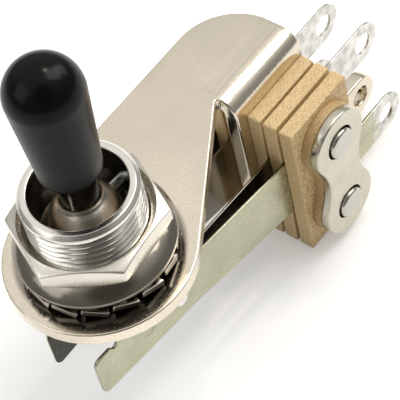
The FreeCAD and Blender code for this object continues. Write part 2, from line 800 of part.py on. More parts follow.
def spring_blade(side, word):
    """Outer blade: the sheet's plan, cut to the outline seen from the side,
    with a bearing dimple pressed towards the follower."""
    half = D.blade_sheet / 2
    plan_body = new_body("blade_plan_body_" + word)
    plan = new_sketch(plan_body, "blade_plan_" + word, "XY_Plane", -D.block_foot - PAST)
    front = -D.blade_front - PAST
    rear = lug_reach + D.lug_radius + PAST
    strip = [
        (rear, blade_inner),
        (rear, blade_outer),
        (block_front, blade_outer),
        (front, blade_middle(front) + half),
        (front, blade_middle(front) - half),
        (block_front, blade_inner),
    ]
    if side < 0:
        strip = [(x, -y) for x, y in strip]
    outline(plan, strip)
    pad(plan_body, "blade_strip_" + word, plan, D.block_foot + PAST)

    side_body = new_body("blade_side_body_" + word)
    sketch = new_sketch(side_body, "blade_side_" + word, "XZ_Plane")
    pad_front = block_front + D.pad_inset
    pad_rear = block_rear - D.pad_inset
    pad_top = -D.block_top - D.pad_inset
    pad_foot = -D.block_foot + D.pad_inset
    corner = D.blade_corner
    tab_top = -D.blade_tip_top - D.step_drop
    outline(sketch, [
        (pad_rear, pad_top),
        (pad_front, pad_top),
        (pad_front, -D.blade_root_top),
        (-D.step_front, -D.blade_tip_top),
        (-D.step_front, tab_top),
        (-D.blade_front + corner, tab_top),
        (-D.blade_front, tab_top - corner, corner, 1),
        (-D.blade_front, -D.blade_tip_foot + corner),
        (-D.blade_front + corner, -D.blade_tip_foot, corner, 1),
        (D.taper_end, -D.blade_mid_foot),
        (pad_front, -D.blade_root_foot),
        (pad_front, pad_foot),
        (pad_rear, pad_foot),
        (pad_rear, -D.lower_lug - D.lug_radius),
        (lug_reach, -D.lower_lug - D.lug_radius),
        (lug_reach, -D.lower_lug + D.lug_radius, D.lug_radius, 1, "half"),
        (pad_rear, -D.lower_lug + D.lug_radius),
    ])
    for x, z in screw_centres():
        circle(sketch, x, z, sleeve_hole)
    circle(sketch, lug_reach, -D.lower_lug, D.lug_hole)
    circle(sketch, D.contact_reach, -D.contact_drop, D.rivet_radius)
    pad(side_body, "blade_side_pad_" + word, sketch, clamp_face * 2, middle=True)
    notch = new_sketch(side_body, "notch_outline_" + word, "XZ_Plane")
    circle(notch, -D.step_front - D.notch_radius, tab_top - D.notch_radius / 2,
           D.notch_radius)
    pocket(side_body, "notch_" + word, notch, clamp_face * 2, middle=True)

    sheet_cut = boolean("Common", "blade_sheet_" + word, plan_body, side_body)

    # The dimple is a shell between two spheres about one centre.
    reach = ((D.dimple_radius * D.dimple_radius + D.dimple_depth * D.dimple_depth)
             / (D.dimple_depth * 2))
    cap = doc.addObject("Part::Sphere", "dimple_outside_" + word)
    bind(cap, "Radius", reach)
    hollow = doc.addObject("Part::Sphere", "dimple_inside_" + word)
    bind(hollow, "Radius", reach - D.blade_sheet)
    for ball in (cap, hollow):
        bind(ball, "Placement.Base.y", (dimple_apex + reach) * side)
        bind(ball, "Placement.Base.z", -D.follower_drop)
    keep = doc.addObject("Part::Box", "dimple_room_" + word)
    room = D.dimple_radius + D.blade_sheet
    rise = D.dimple_depth * 2 + half
    bind(keep, "Length", room * 2)
    bind(keep, "Height", room * 2)
    bind(keep, "Width", rise)
    bind(keep, "Placement.Base.x", -room)
    bind(keep, "Placement.Base.z", -D.follower_drop - room)
    low = dimple_apex - D.dimple_depth
    bind(keep, "Placement.Base.y", low if side > 0 else -low - rise)
    bump = boolean("Common", "dimple_" + word, cap, keep)
    joined = boolean("Fuse", "blade_with_dimple_" + word, sheet_cut, bump)
    blade = boolean("Cut", "blade_" + word, joined, hollow)
    return node(blade, "spring_blade_" + word)


def contacts(side, word):
    """Two domed silver rivets that meet when the lever is upright."""
    middle = blade_middle(D.contact_reach)
    gap = middle - D.blade_sheet / 2 - leaf_outer
    lean = Size(math.degrees(math.atan(blade_lean.value)), "atan(%s)" % blade_lean.text)
    leaf_body = contact_rivet("leaf_contact_body_" + word, side, D.leaf_sheet, gap / 2)
    bind(leaf_body, "Placement.Base.y", leaf_plane * side)
    node(leaf_body, "leaf_contact_" + word)
    blade_body = contact_rivet("blade_contact_body_" + word, -side, D.blade_sheet, gap / 2)
    bind(blade_body, "Placement.Base.y", middle * side)
    bind(blade_body, "Placement.Rotation.Angle", lean * side)
    node(blade_body, "blade_contact_" + word)


def contact_rivet(name, way, thickness, head):
    """A rivet along Y through a sheet, its domed head on the side that way gives."""
    body = new_body(name)
    shoulder = thickness / 2
    rim = shoulder + head - D.contact_dome
    crown = ((D.contact_radius * D.contact_radius + D.contact_dome * D.contact_dome)
             / (D.contact_dome * 2))
    sketch = new_sketch(body, name + "_section", "XY_Plane")
    outline(sketch, [
        (0, -shoulder * way),
        (D.rivet_radius, -shoulder * way),
        (D.rivet_radius, shoulder * way),
        (D.contact_radius, shoulder * way),
        (D.contact_radius, rim * way),
        (0, (shoulder + head) * way, crown, way),
    ])
    revolve(body, name + "_turning", sketch)
    bind(body, "Placement.Base.x", D.contact_reach)
    bind(body, "Placement.Base.z", -D.contact_drop)
    return body


def sleeves():
    for (x, z), name in zip(screw_centres(), ("upper_sleeve", "lower_sleeve")):
        body = new_body(name + "_body")
        sketch = new_sketch(body, name + "_outline", "XZ_Plane")
        circle(sketch, x, z, D.sleeve_radius)
        circle(sketch, x, z, D.screw_radius + D.screw_gap)
        pad(body, name + "_pad", sketch, spacer_face * 2, middle=True)
        node(body, name)


def clamp_screws():
    """Two slotted screws, heads on the left clamp plate."""
    pieces = []
    under_head = clamp_face
    end = -clamp_face + D.screw_recess
    head_face = under_head + D.head_height
    for place, (x, z) in zip(("upper", "lower"), screw_centres()):
        body = new_body("screw_body_" + place)
        sketch = new_sketch(body, "screw_section_" + place, "XY_Plane")
        outline(sketch, [
            (0, end),
            (D.screw_radius - D.screw_recess, end),
            (D.screw_radius, end + D.screw_recess),
            (D.screw_radius, under_head),
            (D.head_radius, under_head),
            (D.head_radius, head_face - D.head_edge),
            (D.head_radius - D.head_edge, head_face, D.head_edge, 1),
            (0, head_face),
        ])
        revolve(body, "screw_turning_" + place, sketch)
        slot = new_sketch(body, "slot_outline_" + place, "XZ_Plane", -head_face)
        length = D.head_radius + PAST
        outline(slot, [
            (length, D.slot_width / 2),
            (-length, D.slot_width / 2),
            (-length, -D.slot_width / 2),
            (length, -D.slot_width / 2),
        ])
        pocket(body, "slot_" + place, slot, D.slot_depth, reverse=True)
        bind(body, "Placement.Base.x", x)
        bind(body, "Placement.Base.z", z)
        pieces.append(body)
    group = doc.addObject("Part::Compound", "screw_pair")
    group.Links = pieces
    return node(group, "clamp_screws")


def build():
    frame_plate()
    bushing()
    hex_nut()
    dished_washer()
    lock_washer()
    pivot_pin()
    toggle_lever()
    lever_tip()
    lever_follower()
    for side, word in ((1, "left"), (-1, "right")):
        insulators(side, word)
        contact_leaf(side, word)
        spring_blade(side, word)
        contacts(side, word)
        end_plates(side, word)
    sleeves()
    clamp_screws()


def check_model():
    """Stop before anything is written if a feature or a shape has failed."""
    for thing in doc.Objects:
        for flag in ("Invalid", "Error"):
            if flag in thing.State:
                raise RuntimeError("%s is %s" % (thing.Name, thing.State))
    for thing in NODES:
        if thing.Shape.isNull() or not thing.Shape.isValid():
            raise RuntimeError("%s has no valid shape" % thing.Label)
        if not thing.Shape.Solids:
            raise RuntimeError("%s has no solid" % thing.Label)


def export():
    os.makedirs("parts", exist_ok=True)
    for thing in NODES:
        thing.Shape.exportStep("parts/%s.step" % thing.Label)
        box = thing.Shape.BoundBox
        print("%-24s solids %d  volume %9.3f  x %.2f %.2f  y %.2f %.2f  z %.2f %.2f" % (
            thing.Label, len(thing.Shape.Solids), thing.Shape.Volume,
            box.XMin, box.XMax, box.YMin, box.YMax, box.ZMin, box.ZMax))


build()
doc.recompute()
check_model()
export()
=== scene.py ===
"""Looks, light and camera of a right-angle toggle switch, such as a guitar's pickup selector.

Lengths are in millimetres up to the point where a mesh is made. They repeat the part's own
sizes. The bushing's axis is Z, the panel face of the frame plate is Z = 0, the stack of
springs is on +X, and the photographed side is -Y.
"""

import math

import bmesh
import bpy
from mathutils import Matrix, Vector
from mathutils.geometry import delaunay_2d_cdt


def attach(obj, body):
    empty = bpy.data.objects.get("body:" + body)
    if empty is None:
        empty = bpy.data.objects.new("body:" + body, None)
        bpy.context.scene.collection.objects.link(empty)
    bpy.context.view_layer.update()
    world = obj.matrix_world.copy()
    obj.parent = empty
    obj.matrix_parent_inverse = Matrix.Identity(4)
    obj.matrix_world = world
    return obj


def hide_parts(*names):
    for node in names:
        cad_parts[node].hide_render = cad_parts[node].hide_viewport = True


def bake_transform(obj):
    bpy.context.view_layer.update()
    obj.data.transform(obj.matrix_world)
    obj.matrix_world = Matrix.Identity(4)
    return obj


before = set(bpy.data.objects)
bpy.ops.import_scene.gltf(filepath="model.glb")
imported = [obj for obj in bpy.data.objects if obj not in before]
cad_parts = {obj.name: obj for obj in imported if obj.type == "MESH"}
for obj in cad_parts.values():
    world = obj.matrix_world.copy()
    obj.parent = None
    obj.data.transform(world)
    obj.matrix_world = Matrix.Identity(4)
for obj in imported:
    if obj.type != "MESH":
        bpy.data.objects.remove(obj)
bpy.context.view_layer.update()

MM = 0.001
SIDES = (("left", 1), ("right", -1))

# Radii of rounded edges that several pieces share
FINE_EDGE = 0.1
TURNED_EDGE = 0.15

# Folded frame plate
SHEET = 1.6
SHEET_EDGE = 0.22
END_RADIUS = 9.8
FOLD_FRONT = 20.8
FOLD_REAR = 32.05
CORNER_RADIUS = 6.65
BEND_OUTER = 2.4
BEND_MIDDLE = BEND_OUTER - SHEET / 2
BEND_LENGTH = BEND_MIDDLE * math.pi / 2
BEND_STEPS = 10
FOLD_LIMIT = 0.001
FLANGE_DROP = 22.6
FLANGE_CORNER = 1.5
FLANGE_REAR_CORNER = 0.5
SPIGOT_RADIUS = 5.3
GROUND_LUG = (40.0, -19.0)

# Shallow mark that the folding tool left along the fold: (distance from the axis, depth)
PRESS_MARK = ((4.05, 0.0), (3.85, 0.012), (3.4, 0.022), (2.9, 0.026), (2.4, 0.02), (2.1, 0.012),
              (1.95, 0.03), (1.8, 0.0))
PRESS_START = 21.0
PRESS_FADE = 0.35

# Bushing. The thread's flat crest is a share of its pitch, its flat root is another such share,
# and its fades are the heights over which its grooves begin and end.
BUSHING_TOP = 10.4
BUSHING_CHAMFER = 0.4
BUSHING_STEPS = 160
FOOT_RADIUS = 6.3
FOOT_HEIGHT = 0.8
FOOT_CHAMFER = 0.4
FOOT_LOW_EDGE = 0.3
FOOT_SIDE_EDGE = 0.2
BORE_RADIUS = 4.9
BORE_FLOOR = 4.6
BORE_EDGE = 0.18
THROAT_RADIUS = 3.3
THROAT_TOP = 3.3
THREAD_RADIUS = 5.95
THREAD_PITCH = 0.794
THREAD_DEPTH = 0.42
THREAD_START = 0.9
THREAD_FINISH = 9.9
THREAD_CREST = 0.12
THREAD_FADES = (0.5, 0.35)
THREAD_LEVELS = 10

# Nut. Its edge rows are (distance in from the side, depth behind the face).
NUT_FLATS = 14.0
NUT_LOW = 4.1
NUT_TOP = 6.5
NUT_TURN = 5.4
NUT_CORNER_CUT = 0.03875
NUT_BORE = 6.0
NUT_SINK_RADIUS = 6.8
NUT_SINK_DEPTH = 0.8
NUT_SINK_EDGE = 0.06
NUT_LOW_SINK_RADIUS = 6.4
NUT_LOW_SINK_DEPTH = 0.4
NUT_CROWN = 0.1
NUT_CHAMFER_SLOPE = 0.42
NUT_FACE_INSET = 0.08
NUT_EDGE_ROWS = ((0.02, 0.03), (0.0, 0.1))
NUT_FACE_STEPS = 4
NUT_STEPS = 360

# Washers
DISH_RADIUS = 8.15
DISH_TOP = 2.5
DISH_SHEET = 0.45
DISH_CURVE = 4.4
DISH_CROWN = 4.05
DISH_HOLE = 6.1
DISH_EDGE = 0.12
LOCK_LOW = 0.408
LOCK_SHEET = 0.7
LOCK_MIDDLE = LOCK_LOW + LOCK_SHEET / 2
LOCK_HOLE = 6.1
LOCK_EDGE = 0.09
TOOTH_ROOT = 7.0
TOOTH_RADIUS = 7.9
TOOTH_WIDTH = 2.75
TOOTH_ROOT_WIDTH = 2.3
TOOTH_CORNER = 0.12
TOOTH_TWIST = 18.0
TOOTH_TURN = 15.0
TOOTH_COUNT = 16
TWIST_START = 6.85
TOOTH_GRID_OUT = (6.85, 7.1, 7.35, 7.6)
TOOTH_GRID_ACROSS = (-0.8, -0.4, 0, 0.4, 0.8)

# Lever, cross pin, tip and follower
PIVOT_HEIGHT = 5.6
BALL_RADIUS = 3.75
NECK_RADIUS = 1.9
NECK_FILLET = 1.2
SHANK_RADIUS = 1.5
CORE_RADIUS = 1.0
CORE_FOOT = -12.0
PIN_RADIUS = 0.8
PIN_HALF = 5.4
PIN_STEPS = 48
TIP_FOOT = 13.1
TIP_FOOT_RADIUS = 3.1
TIP_FOOT_EDGE = 0.8
STUD_RADIUS = 1.6
STUD_FOOT = 14.1
STUD_TOP = 20.0
STUD_EDGE = 0.3
TIP_RADIUS = 3.85
TIP_HEIGHT = 28.1
FOLLOWER_RADIUS = 2.51
FOLLOWER_LOW = -12.5
FOLLOWER_TOP = -7.5
FOLLOWER_CROWN = 0.55
FOLLOWER_CHAMFER = 0.1

# Stack of insulators, springs, spacers and clamp plates. Pairs are the distances of both faces
# from the middle plane.
BLOCK_FRONT = 22.2
BLOCK_REAR = 31.7
BLOCK_TOP = -3.0
BLOCK_FOOT = -22.7
BLOCK_CORNER = 0.25
BOARD_EDGE = 0.12
INSULATORS = (("inner", (0.8, 2.45)), ("middle", (2.75, 4.40)), ("outer", (4.80, 6.45)))
LEAF = (2.45, 2.75)
BLADE = (4.40, 4.80)
SPACER = (6.45, 7.55)
CLAMP = (7.55, 8.65)
CLAMP_EDGE = 0.2
CLAMP_RIM = 0.05
SCREWS = ((27.0, -7.6), (27.0, -18.0))
SLEEVE_HOLE = 2.35
CLAMP_HOLE = 1.95
LOBE_RADIUS = 3.9
WAIST_HALF = 2.6

# Springs: their pads in the stack, their solder lugs, and the outlines of leaf and blade
PAD_FRONT = BLOCK_FRONT + 1.0
PAD_REAR = BLOCK_REAR - 1.0
PAD_TOP = BLOCK_TOP - 1.0
PAD_FOOT = BLOCK_FOOT + 1.0
ROOT_CORNER = 0.3
FREE_CORNER = 0.9
LUG_RADIUS = 2.5
LUG_CORNER = LUG_RADIUS - 0.01
LUG_HOLE = 1.25
LUG_REACH = 39.3
UPPER_LUG = -8.0
LOWER_LUG = -18.6
LEAF_EDGE = 0.09
LEAF_FRONT = 3.3
LEAF_TOP = -9.2
LEAF_TIP_TOP = -8.2
LEAF_FOOT = -14.4
LEAF_ROOT_FOOT = -18.2
BLADE_EDGE = 0.12
BLADE_FRONT = -7.4
BLADE_LEAN = 0.04899
BLADE_ROOT_TOP = -8.8
BLADE_TIP_TOP = -7.0
BLADE_TOP_CORNER = 0.25
TAB_TOP = -8.25
STEP_FRONT = -4.15
BLADE_ROOT_FOOT = -16.85
BLADE_MID_FOOT = -14.75
BLADE_TIP_FOOT = -13.9
TAPER_END = 7.0
DIMPLE_RADIUS = 2.3
DIMPLE_DEPTH = 0.65
DIMPLE_HEIGHT = -10.0
DIMPLE_RINGS = (0.2, 0.4, 0.6, 0.75, 0.87, 0.95, 1.0, 1.06)

# Notch under the blade's step: (distance in front of the step, depth below the tab, corner)
NOTCH = ((0.0, 0.25, 0.2), (0.45, 0.65, 0.25), (0.95, 0.0, 0.2))

# Contact rivets
CONTACT = (4.9, -12.2)
CONTACT_RADIUS = 1.3
CONTACT_DOME = 0.15
CONTACT_EDGE = 0.05
CONTACT_STEPS = 64
RIVET_RADIUS = 0.75
RIVET_EDGE = 0.04

# Clamp screws
SCREW_RADIUS = 1.75
SCREW_PROUD = 0.42
SCREW_EDGE = 0.38
SCREW_STEPS = 96
HEAD_RADIUS = 3.1
HEAD_HEIGHT = 2.2
HEAD_EDGE = 0.7
SLOT_WIDTH = 0.9
SLOT_DEPTH = 1.0
SLOT_WALL = 0.01
SLOT_TURNS = (20, -35)

# Planes across the springs, in whole millimetres along X, divide them into strips.
LEAF_CUTS = [(0, x) for x in range(4, 22)]
BLADE_CUTS = [(0, x) for x in range(4, 23)]

# Mesh fineness. Points of an outline or a mesh that are nearer than these limits are one.
ARC_STEP = math.radians(7.5)
EDGE_STEPS = 3
TURNS = 128
SHARP_ANGLE = math.radians(38.0)
OUTLINE_LIMIT = 1e-4
MESH_LIMIT = 1e-5
FILL_LIMIT = 1e-6


# ---- Outlines ----

def arc(x, y, radius, start, finish):
    """Points along an arc, from one angle to another in degrees, both ends included."""
    sweep = math.radians(finish - start)
    steps = max(2, math.ceil(abs(sweep) / ARC_STEP))
    turns = [math.radians(start) + sweep * step / steps for step in range(steps + 1)]
    return [Vector((x + radius * math.cos(t), y + radius * math.sin(t))) for t in turns]


def ring(x, y, radius):
    return arc(x, y, radius, 0, 360)[:-1]


def bowed(start, finish, radius):
    """Points along an arc that turns left from one point to another."""
    start, finish = Vector(start), Vector(finish)
    half = (finish - start) / 2
    inward = Vector((-half.y, half.x)).normalized()
    centre = start + half + inward * math.sqrt(radius ** 2 - half.length_squared)
    ends = [math.degrees(math.atan2(spot.y, spot.x))
            for spot in (start - centre, finish - centre)]
    return arc(*centre, radius, *ends)


def neighbours(loop):
    """Each point of a closed loop with the ones before and after it."""
    return zip(loop[-1:] + loop[:-1], loop, loop[1:] + loop[:1])


def rounded(corners):
    """A closed outline from corners (x, y) or (x, y, radius), each with its own radius."""
    outline = []
    for before, corner, after in neighbours(corners):
        here = Vector(corner[:2])
        radius = corner[2] if len(corner) > 2 else 0
        if not radius:
            outline.append(here)
            continue
        back = (Vector(before[:2]) - here).normalized()
        ahead = (Vector(after[:2]) - here).normalized()
        half = back.angle(ahead) / 2
        centre = here + (back + ahead).normalized() * (radius / math.sin(half))
        first = here + back * (radius / math.tan(half)) - centre
        side = 1 if ahead.x * back.y - ahead.y * back.x > 0 else -1
        sweep = side * (math.pi - 2 * half)
        steps = max(2, math.ceil(abs(sweep) / ARC_STEP))
        for step in range(steps + 1):
            outline.append(centre + Matrix.Rotation(sweep * step / steps, 2) @ first)
    return cleaned(outline)


def cleaned(loop):
    """The loop without points that fall on the one before."""
    return [point for before, point, _ in neighbours(loop)
            if (point - before).length > OUTLINE_LIMIT]


def wound(loop, way):
    """The loop, anticlockwise where way is 1 and clockwise where it is -1."""
    area = sum(a.x * b.y - a.y * b.x for a, b, _ in neighbours(loop))
    return loop if area * way > 0 else loop[::-1]


def inset(loop, distance):
    """The loop moved to its left by a distance, with mitred corners."""
    moved = []
    for before, here, after in neighbours(loop):
        back = (here - before).normalized()
        ahead = (after - here).normalized()
        one, two = Vector((-back.y, back.x)), Vector((-ahead.y, ahead.x))
        moved.append(here + (one + two) * (distance / (1 + one.dot(two))))
    return moved


def enclosed(point, loops):
    """Whether a point is inside the first loop and outside the holes."""
    crossings = 0
    for loop in loops:
        for a, b, _ in neighbours(loop):
            if (a.y > point.y) != (b.y > point.y):
                if point.x < a.x + (b.x - a.x) * (point.y - a.y) / (b.y - a.y):
                    crossings += 1
    return crossings % 2 == 1


# ---- Meshes ----

def divide(mesh, cuts):
    """Adds edges where planes (axis, value) cross the mesh."""
    for axis, value in cuts:
        point, normal = Vector((0, 0, 0)), Vector((0, 0, 0))
        point[axis] = value
        normal[axis] = 1
        bmesh.ops.bisect_plane(mesh, geom=mesh.verts[:] + mesh.edges[:] + mesh.faces[:],
                               plane_co=point, plane_no=normal)


def piece_from(name, mesh, cuts, place):
    """The mesh of a blank in millimetres, divided and put in its place, as an object in metres
    that is smooth apart from its sharp edges."""
    divide(mesh, cuts)
    for vert in mesh.verts:
        vert.co = place(*vert.co)
    bmesh.ops.remove_doubles(mesh, verts=mesh.verts, dist=MESH_LIMIT)
    bmesh.ops.recalc_face_normals(mesh, faces=mesh.faces)
    for vert in mesh.verts:
        vert.co *= MM
    data = bpy.data.meshes.new(name)
    mesh.to_mesh(data)
    mesh.free()
    data.shade_smooth()
    data.set_sharp_from_angle(angle=SHARP_ANGLE)
    piece = bpy.data.objects.new(name, data)
    bpy.context.collection.objects.link(piece)
    weighted = piece.modifiers.new("face_weighted_normals", "WEIGHTED_NORMAL")
    weighted.keep_sharp = True
    return piece


def stamped(name, outline, holes, thickness, edge, place, inner=(), cuts=(), rim=0.0):
    """A blank with rounded edges. place puts a point (x, y, height) of the flat blank in the
    frame, inner are more points for its faces, and cuts are planes (axis, value) to divide it.
    A flat strip as wide as rim, inside the rounded edge, keeps its faces flat in the light."""
    half = thickness / 2
    loops = [wound(outline, 1)] + [wound(hole, -1) for hole in holes]
    rows = [(edge + rim, half)] if rim else []
    for step in range(EDGE_STEPS + 1):
        turn = math.pi / 2 * step / EDGE_STEPS
        rows.append((edge * (1 - math.sin(turn)), half - edge * (1 - math.cos(turn))))
    rows += [(moved, -height) for moved, height in reversed(rows)]
    mesh = bmesh.new()
    flat, links, upper, lower = [], [], [], []
    for loop in loops:
        rings = [[mesh.verts.new((*point, height)) for point in inset(loop, moved)]
                 for moved, height in rows]
        for over, under in zip(rings, rings[1:]):
            for k in range(len(loop)):
                mesh.faces.new((over[k - 1], under[k - 1], under[k], over[k]))
        start = len(flat)
        flat += [vert.co.xy for vert in rings[0]]
        links += [(start + k, start + (k + 1) % len(loop)) for k in range(len(loop))]
        upper += rings[0]
        lower += rings[-1]
    for point in inner:
        flat.append(Vector(point))
        upper.append(mesh.verts.new((*point, half)))
        lower.append(mesh.verts.new((*point, -half)))
    points, _, faces, origins, _, _ = delaunay_2d_cdt(flat, links, [], 0, FILL_LIMIT)
    cap_loops = [inset(loop, edge + rim) for loop in loops]
    for face in faces:
        middle = sum((points[index] for index in face), Vector((0, 0))) / 3
        if not enclosed(middle, cap_loops):
            continue
        corners = [origins[index][0] for index in face]
        mesh.faces.new([upper[index] for index in corners])
        mesh.faces.new([lower[index] for index in reversed(corners)])
    return piece_from(name, mesh, cuts, place)


def turned(name, rows, place=lambda *point: point, steps=TURNS, cuts=()):
    """A closed section turned round an axis. A row is a point (radius, height), or a function
    that gives this point for a turn in radians. place and cuts are as for a stamped blank."""
    mesh = bmesh.new()
    rings = []
    for row in rows:
        verts = []
        for step in range(steps):
            turn = 2 * math.pi * step / steps
            radius, height = row(turn) if callable(row) else row
            verts.append(mesh.verts.new((radius * math.cos(turn), radius * math.sin(turn),
                                         height)))
        rings.append(verts)
    for one, two, _ in neighbours(rings):
        for k in range(steps):
            mesh.faces.new((one[k - 1], one[k], two[k], two[k - 1]))
    bmesh.ops.remove_doubles(mesh, verts=mesh.verts, dist=MESH_LIMIT)
    return piece_from(name, mesh, cuts, place)


# ---- Materials ----

WHITE = (1, 1, 1, 1)

# Part of a noise over which one tone turns into the other
CLOUD = (0.3, 0.7)
SPECKS = (0.35, 0.6)

# Millimetres over which a noise moves the border between two finishes
WANDER = 4.0

# How far up, and how far away from the middle plane, a face looks where its painted shade changes
UPWARD = (-0.1, 0.25)
AWAY = (-0.5, 0.0)

TIN_TONES = ((0.38, (0.50, 0.49, 0.46)), (0.6, (0.74, 0.73, 0.70)))
TIN_BORDER = 1.2
TIN_HEIGHT = 0.015
# Tones of the painted shade in the bushing's bore and thread grooves, and the height over which
# it ends
GROOVE_SHADE_TONES = ((0.3, (0.22, 0.21, 0.18)), (0.7, (0.34, 0.32, 0.28)))
GROOVE_BORDER = 0.15
BALL_TONES = ((0.3, (0.84, 0.73, 0.61)), (0.7, (0.93, 0.81, 0.69)))
NECK_TONES = ((0.3, (0.88, 0.88, 0.87)), (0.7, (0.95, 0.95, 0.94)))
BALL_BORDER = (PIVOT_HEIGHT + 2.6, PIVOT_HEIGHT + 3.2)
DOME_BORDER = (TIP_HEIGHT - 5.0, TIP_HEIGHT - 3.0)
FIBRE_STRETCH = (1, 2.2, 1)


def new_node(tree, kind, sockets=None, operation=None):
    """A new shader node. A socket gets a value, or a link from the output given for it."""
    node = tree.nodes.new(kind)
    if operation:
        node.operation = operation
    if kind == "ShaderNodeMix":
        node.data_type = "RGBA"
    for socket, value in (sockets or {}).items():
        if isinstance(value, bpy.types.NodeSocket):
            tree.links.new(value, node.inputs[socket])
        else:
            node.inputs[socket].default_value = value
    return node


def new_ramp(tree, factor, stops):
    """Colours or grey values at positions of a factor."""
    node = new_node(tree, "ShaderNodeValToRGB", {"Fac": factor})
    elements = node.color_ramp.elements
    while len(elements) < len(stops):
        elements.new(0.5)
    for element, (position, value) in zip(elements, stops):
        element.position = position
        element.color = (*value, 1) if isinstance(value, tuple) else (value,) * 3 + (1,)
    return node.outputs["Color"]


class Finish:
    """A procedural material: one shader whose colour, roughness and bump vary over the piece."""

    def __init__(self, name, colour, roughness, metallic=0.0, gloss=0.5):
        self.material = bpy.data.materials.new(name)
        self.material.use_nodes = True
        self.tree = self.material.node_tree
        self.shader = self.tree.nodes["Principled BSDF"]
        for socket, value in (("Base Color", (*colour, 1)), ("Roughness", roughness),
                              ("Metallic", metallic), ("Specular IOR Level", gloss)):
            self.shader.inputs[socket].default_value = value
        self.place = self.node("ShaderNodeTexCoord").outputs["Object"]
        self.bump = None

    def node(self, kind, sockets=None, operation=None):
        return new_node(self.tree, kind, sockets, operation)

    def feed(self, socket, output):
        self.tree.links.new(output, self.shader.inputs[socket])

    def stretched(self, stretch=(1, 1, 1)):
        """Object coordinates in millimetres, scaled along each axis."""
        return self.node("ShaderNodeMapping", {
            "Scale": [part / MM for part in stretch], "Vector": self.place}).outputs["Vector"]

    def noise(self, size, detail=3.0, stretch=(1, 1, 1)):
        """Soft noise whose spots are about this large, in millimetres."""
        return self.node("ShaderNodeTexNoise", {
            "Scale": 1 / size, "Detail": detail,
            "Vector": self.stretched(stretch)}).outputs["Fac"]

    def ramp(self, factor, *stops):
        return new_ramp(self.tree, factor, stops)

    def between(self, value, start, finish, low=0.0, high=1.0):
        """From low to high as a value goes from start to finish."""
        return self.node("ShaderNodeMapRange", {
            "From Min": start, "From Max": finish, "To Min": low, "To Max": high,
            "Value": value}).outputs["Result"]

    def along(self, axis, start, finish, wander=None):
        """From 0 to 1 between two places along an axis, in millimetres; a noise moves them."""
        value = self.node("ShaderNodeSeparateXYZ", {0: self.stretched()}).outputs[axis]
        if wander is not None:
            value = self.node("ShaderNodeMath", {0: wander, 1: WANDER, 2: value},
                              "MULTIPLY_ADD").outputs[0]
            start, finish = start + WANDER / 2, finish + WANDER / 2
        return self.between(value, start, finish)

    def outward(self, start, finish):
        """From 0 to 1 between two distances from the bushing's axis, in millimetres."""
        node = self.node("ShaderNodeVectorMath", {0: self.stretched((1, 1, 0))}, "LENGTH")
        return self.between(node.outputs["Value"], start, finish)

    def normal(self):
        return self.node("ShaderNodeNewGeometry").outputs["Normal"]

    def upward(self):
        """0 where the surface looks down, 1 where it looks up."""
        split = self.node("ShaderNodeSeparateXYZ", {0: self.normal()})
        return self.between(split.outputs["Z"], *UPWARD)

    def away_from_middle(self):
        """0 where the surface faces the stack's middle plane, 1 where it faces away."""
        product = self.node("ShaderNodeVectorMath", {0: self.normal(), 1: self.stretched()},
                            "MULTIPLY")
        split = self.node("ShaderNodeSeparateXYZ", {0: product.outputs["Vector"]})
        return self.between(split.outputs["Y"], *AWAY)

    def blended(self, factor, one, two):
        """From one colour to another as a factor goes from 0 to 1."""
        return self.node("ShaderNodeMix", {"Factor": factor, "A": one,
                                           "B": two}).outputs["Result"]

    def roughness(self, factor, low, high, start=CLOUD[0], finish=CLOUD[1]):
        self.feed("Roughness", self.between(factor, start, finish, low, high))

    def raised(self, factor, height, strength=1.0):
        """Adds a bump of this height in millimetres; its strength may vary too."""
        sockets = {"Distance": height * MM, "Strength": strength, "Height": factor}
        if self.bump is not None:
            sockets["Normal"] = self.bump
        self.bump = self.node("ShaderNodeBump", sockets).outputs["Normal"]
        self.feed("Normal", self.bump)


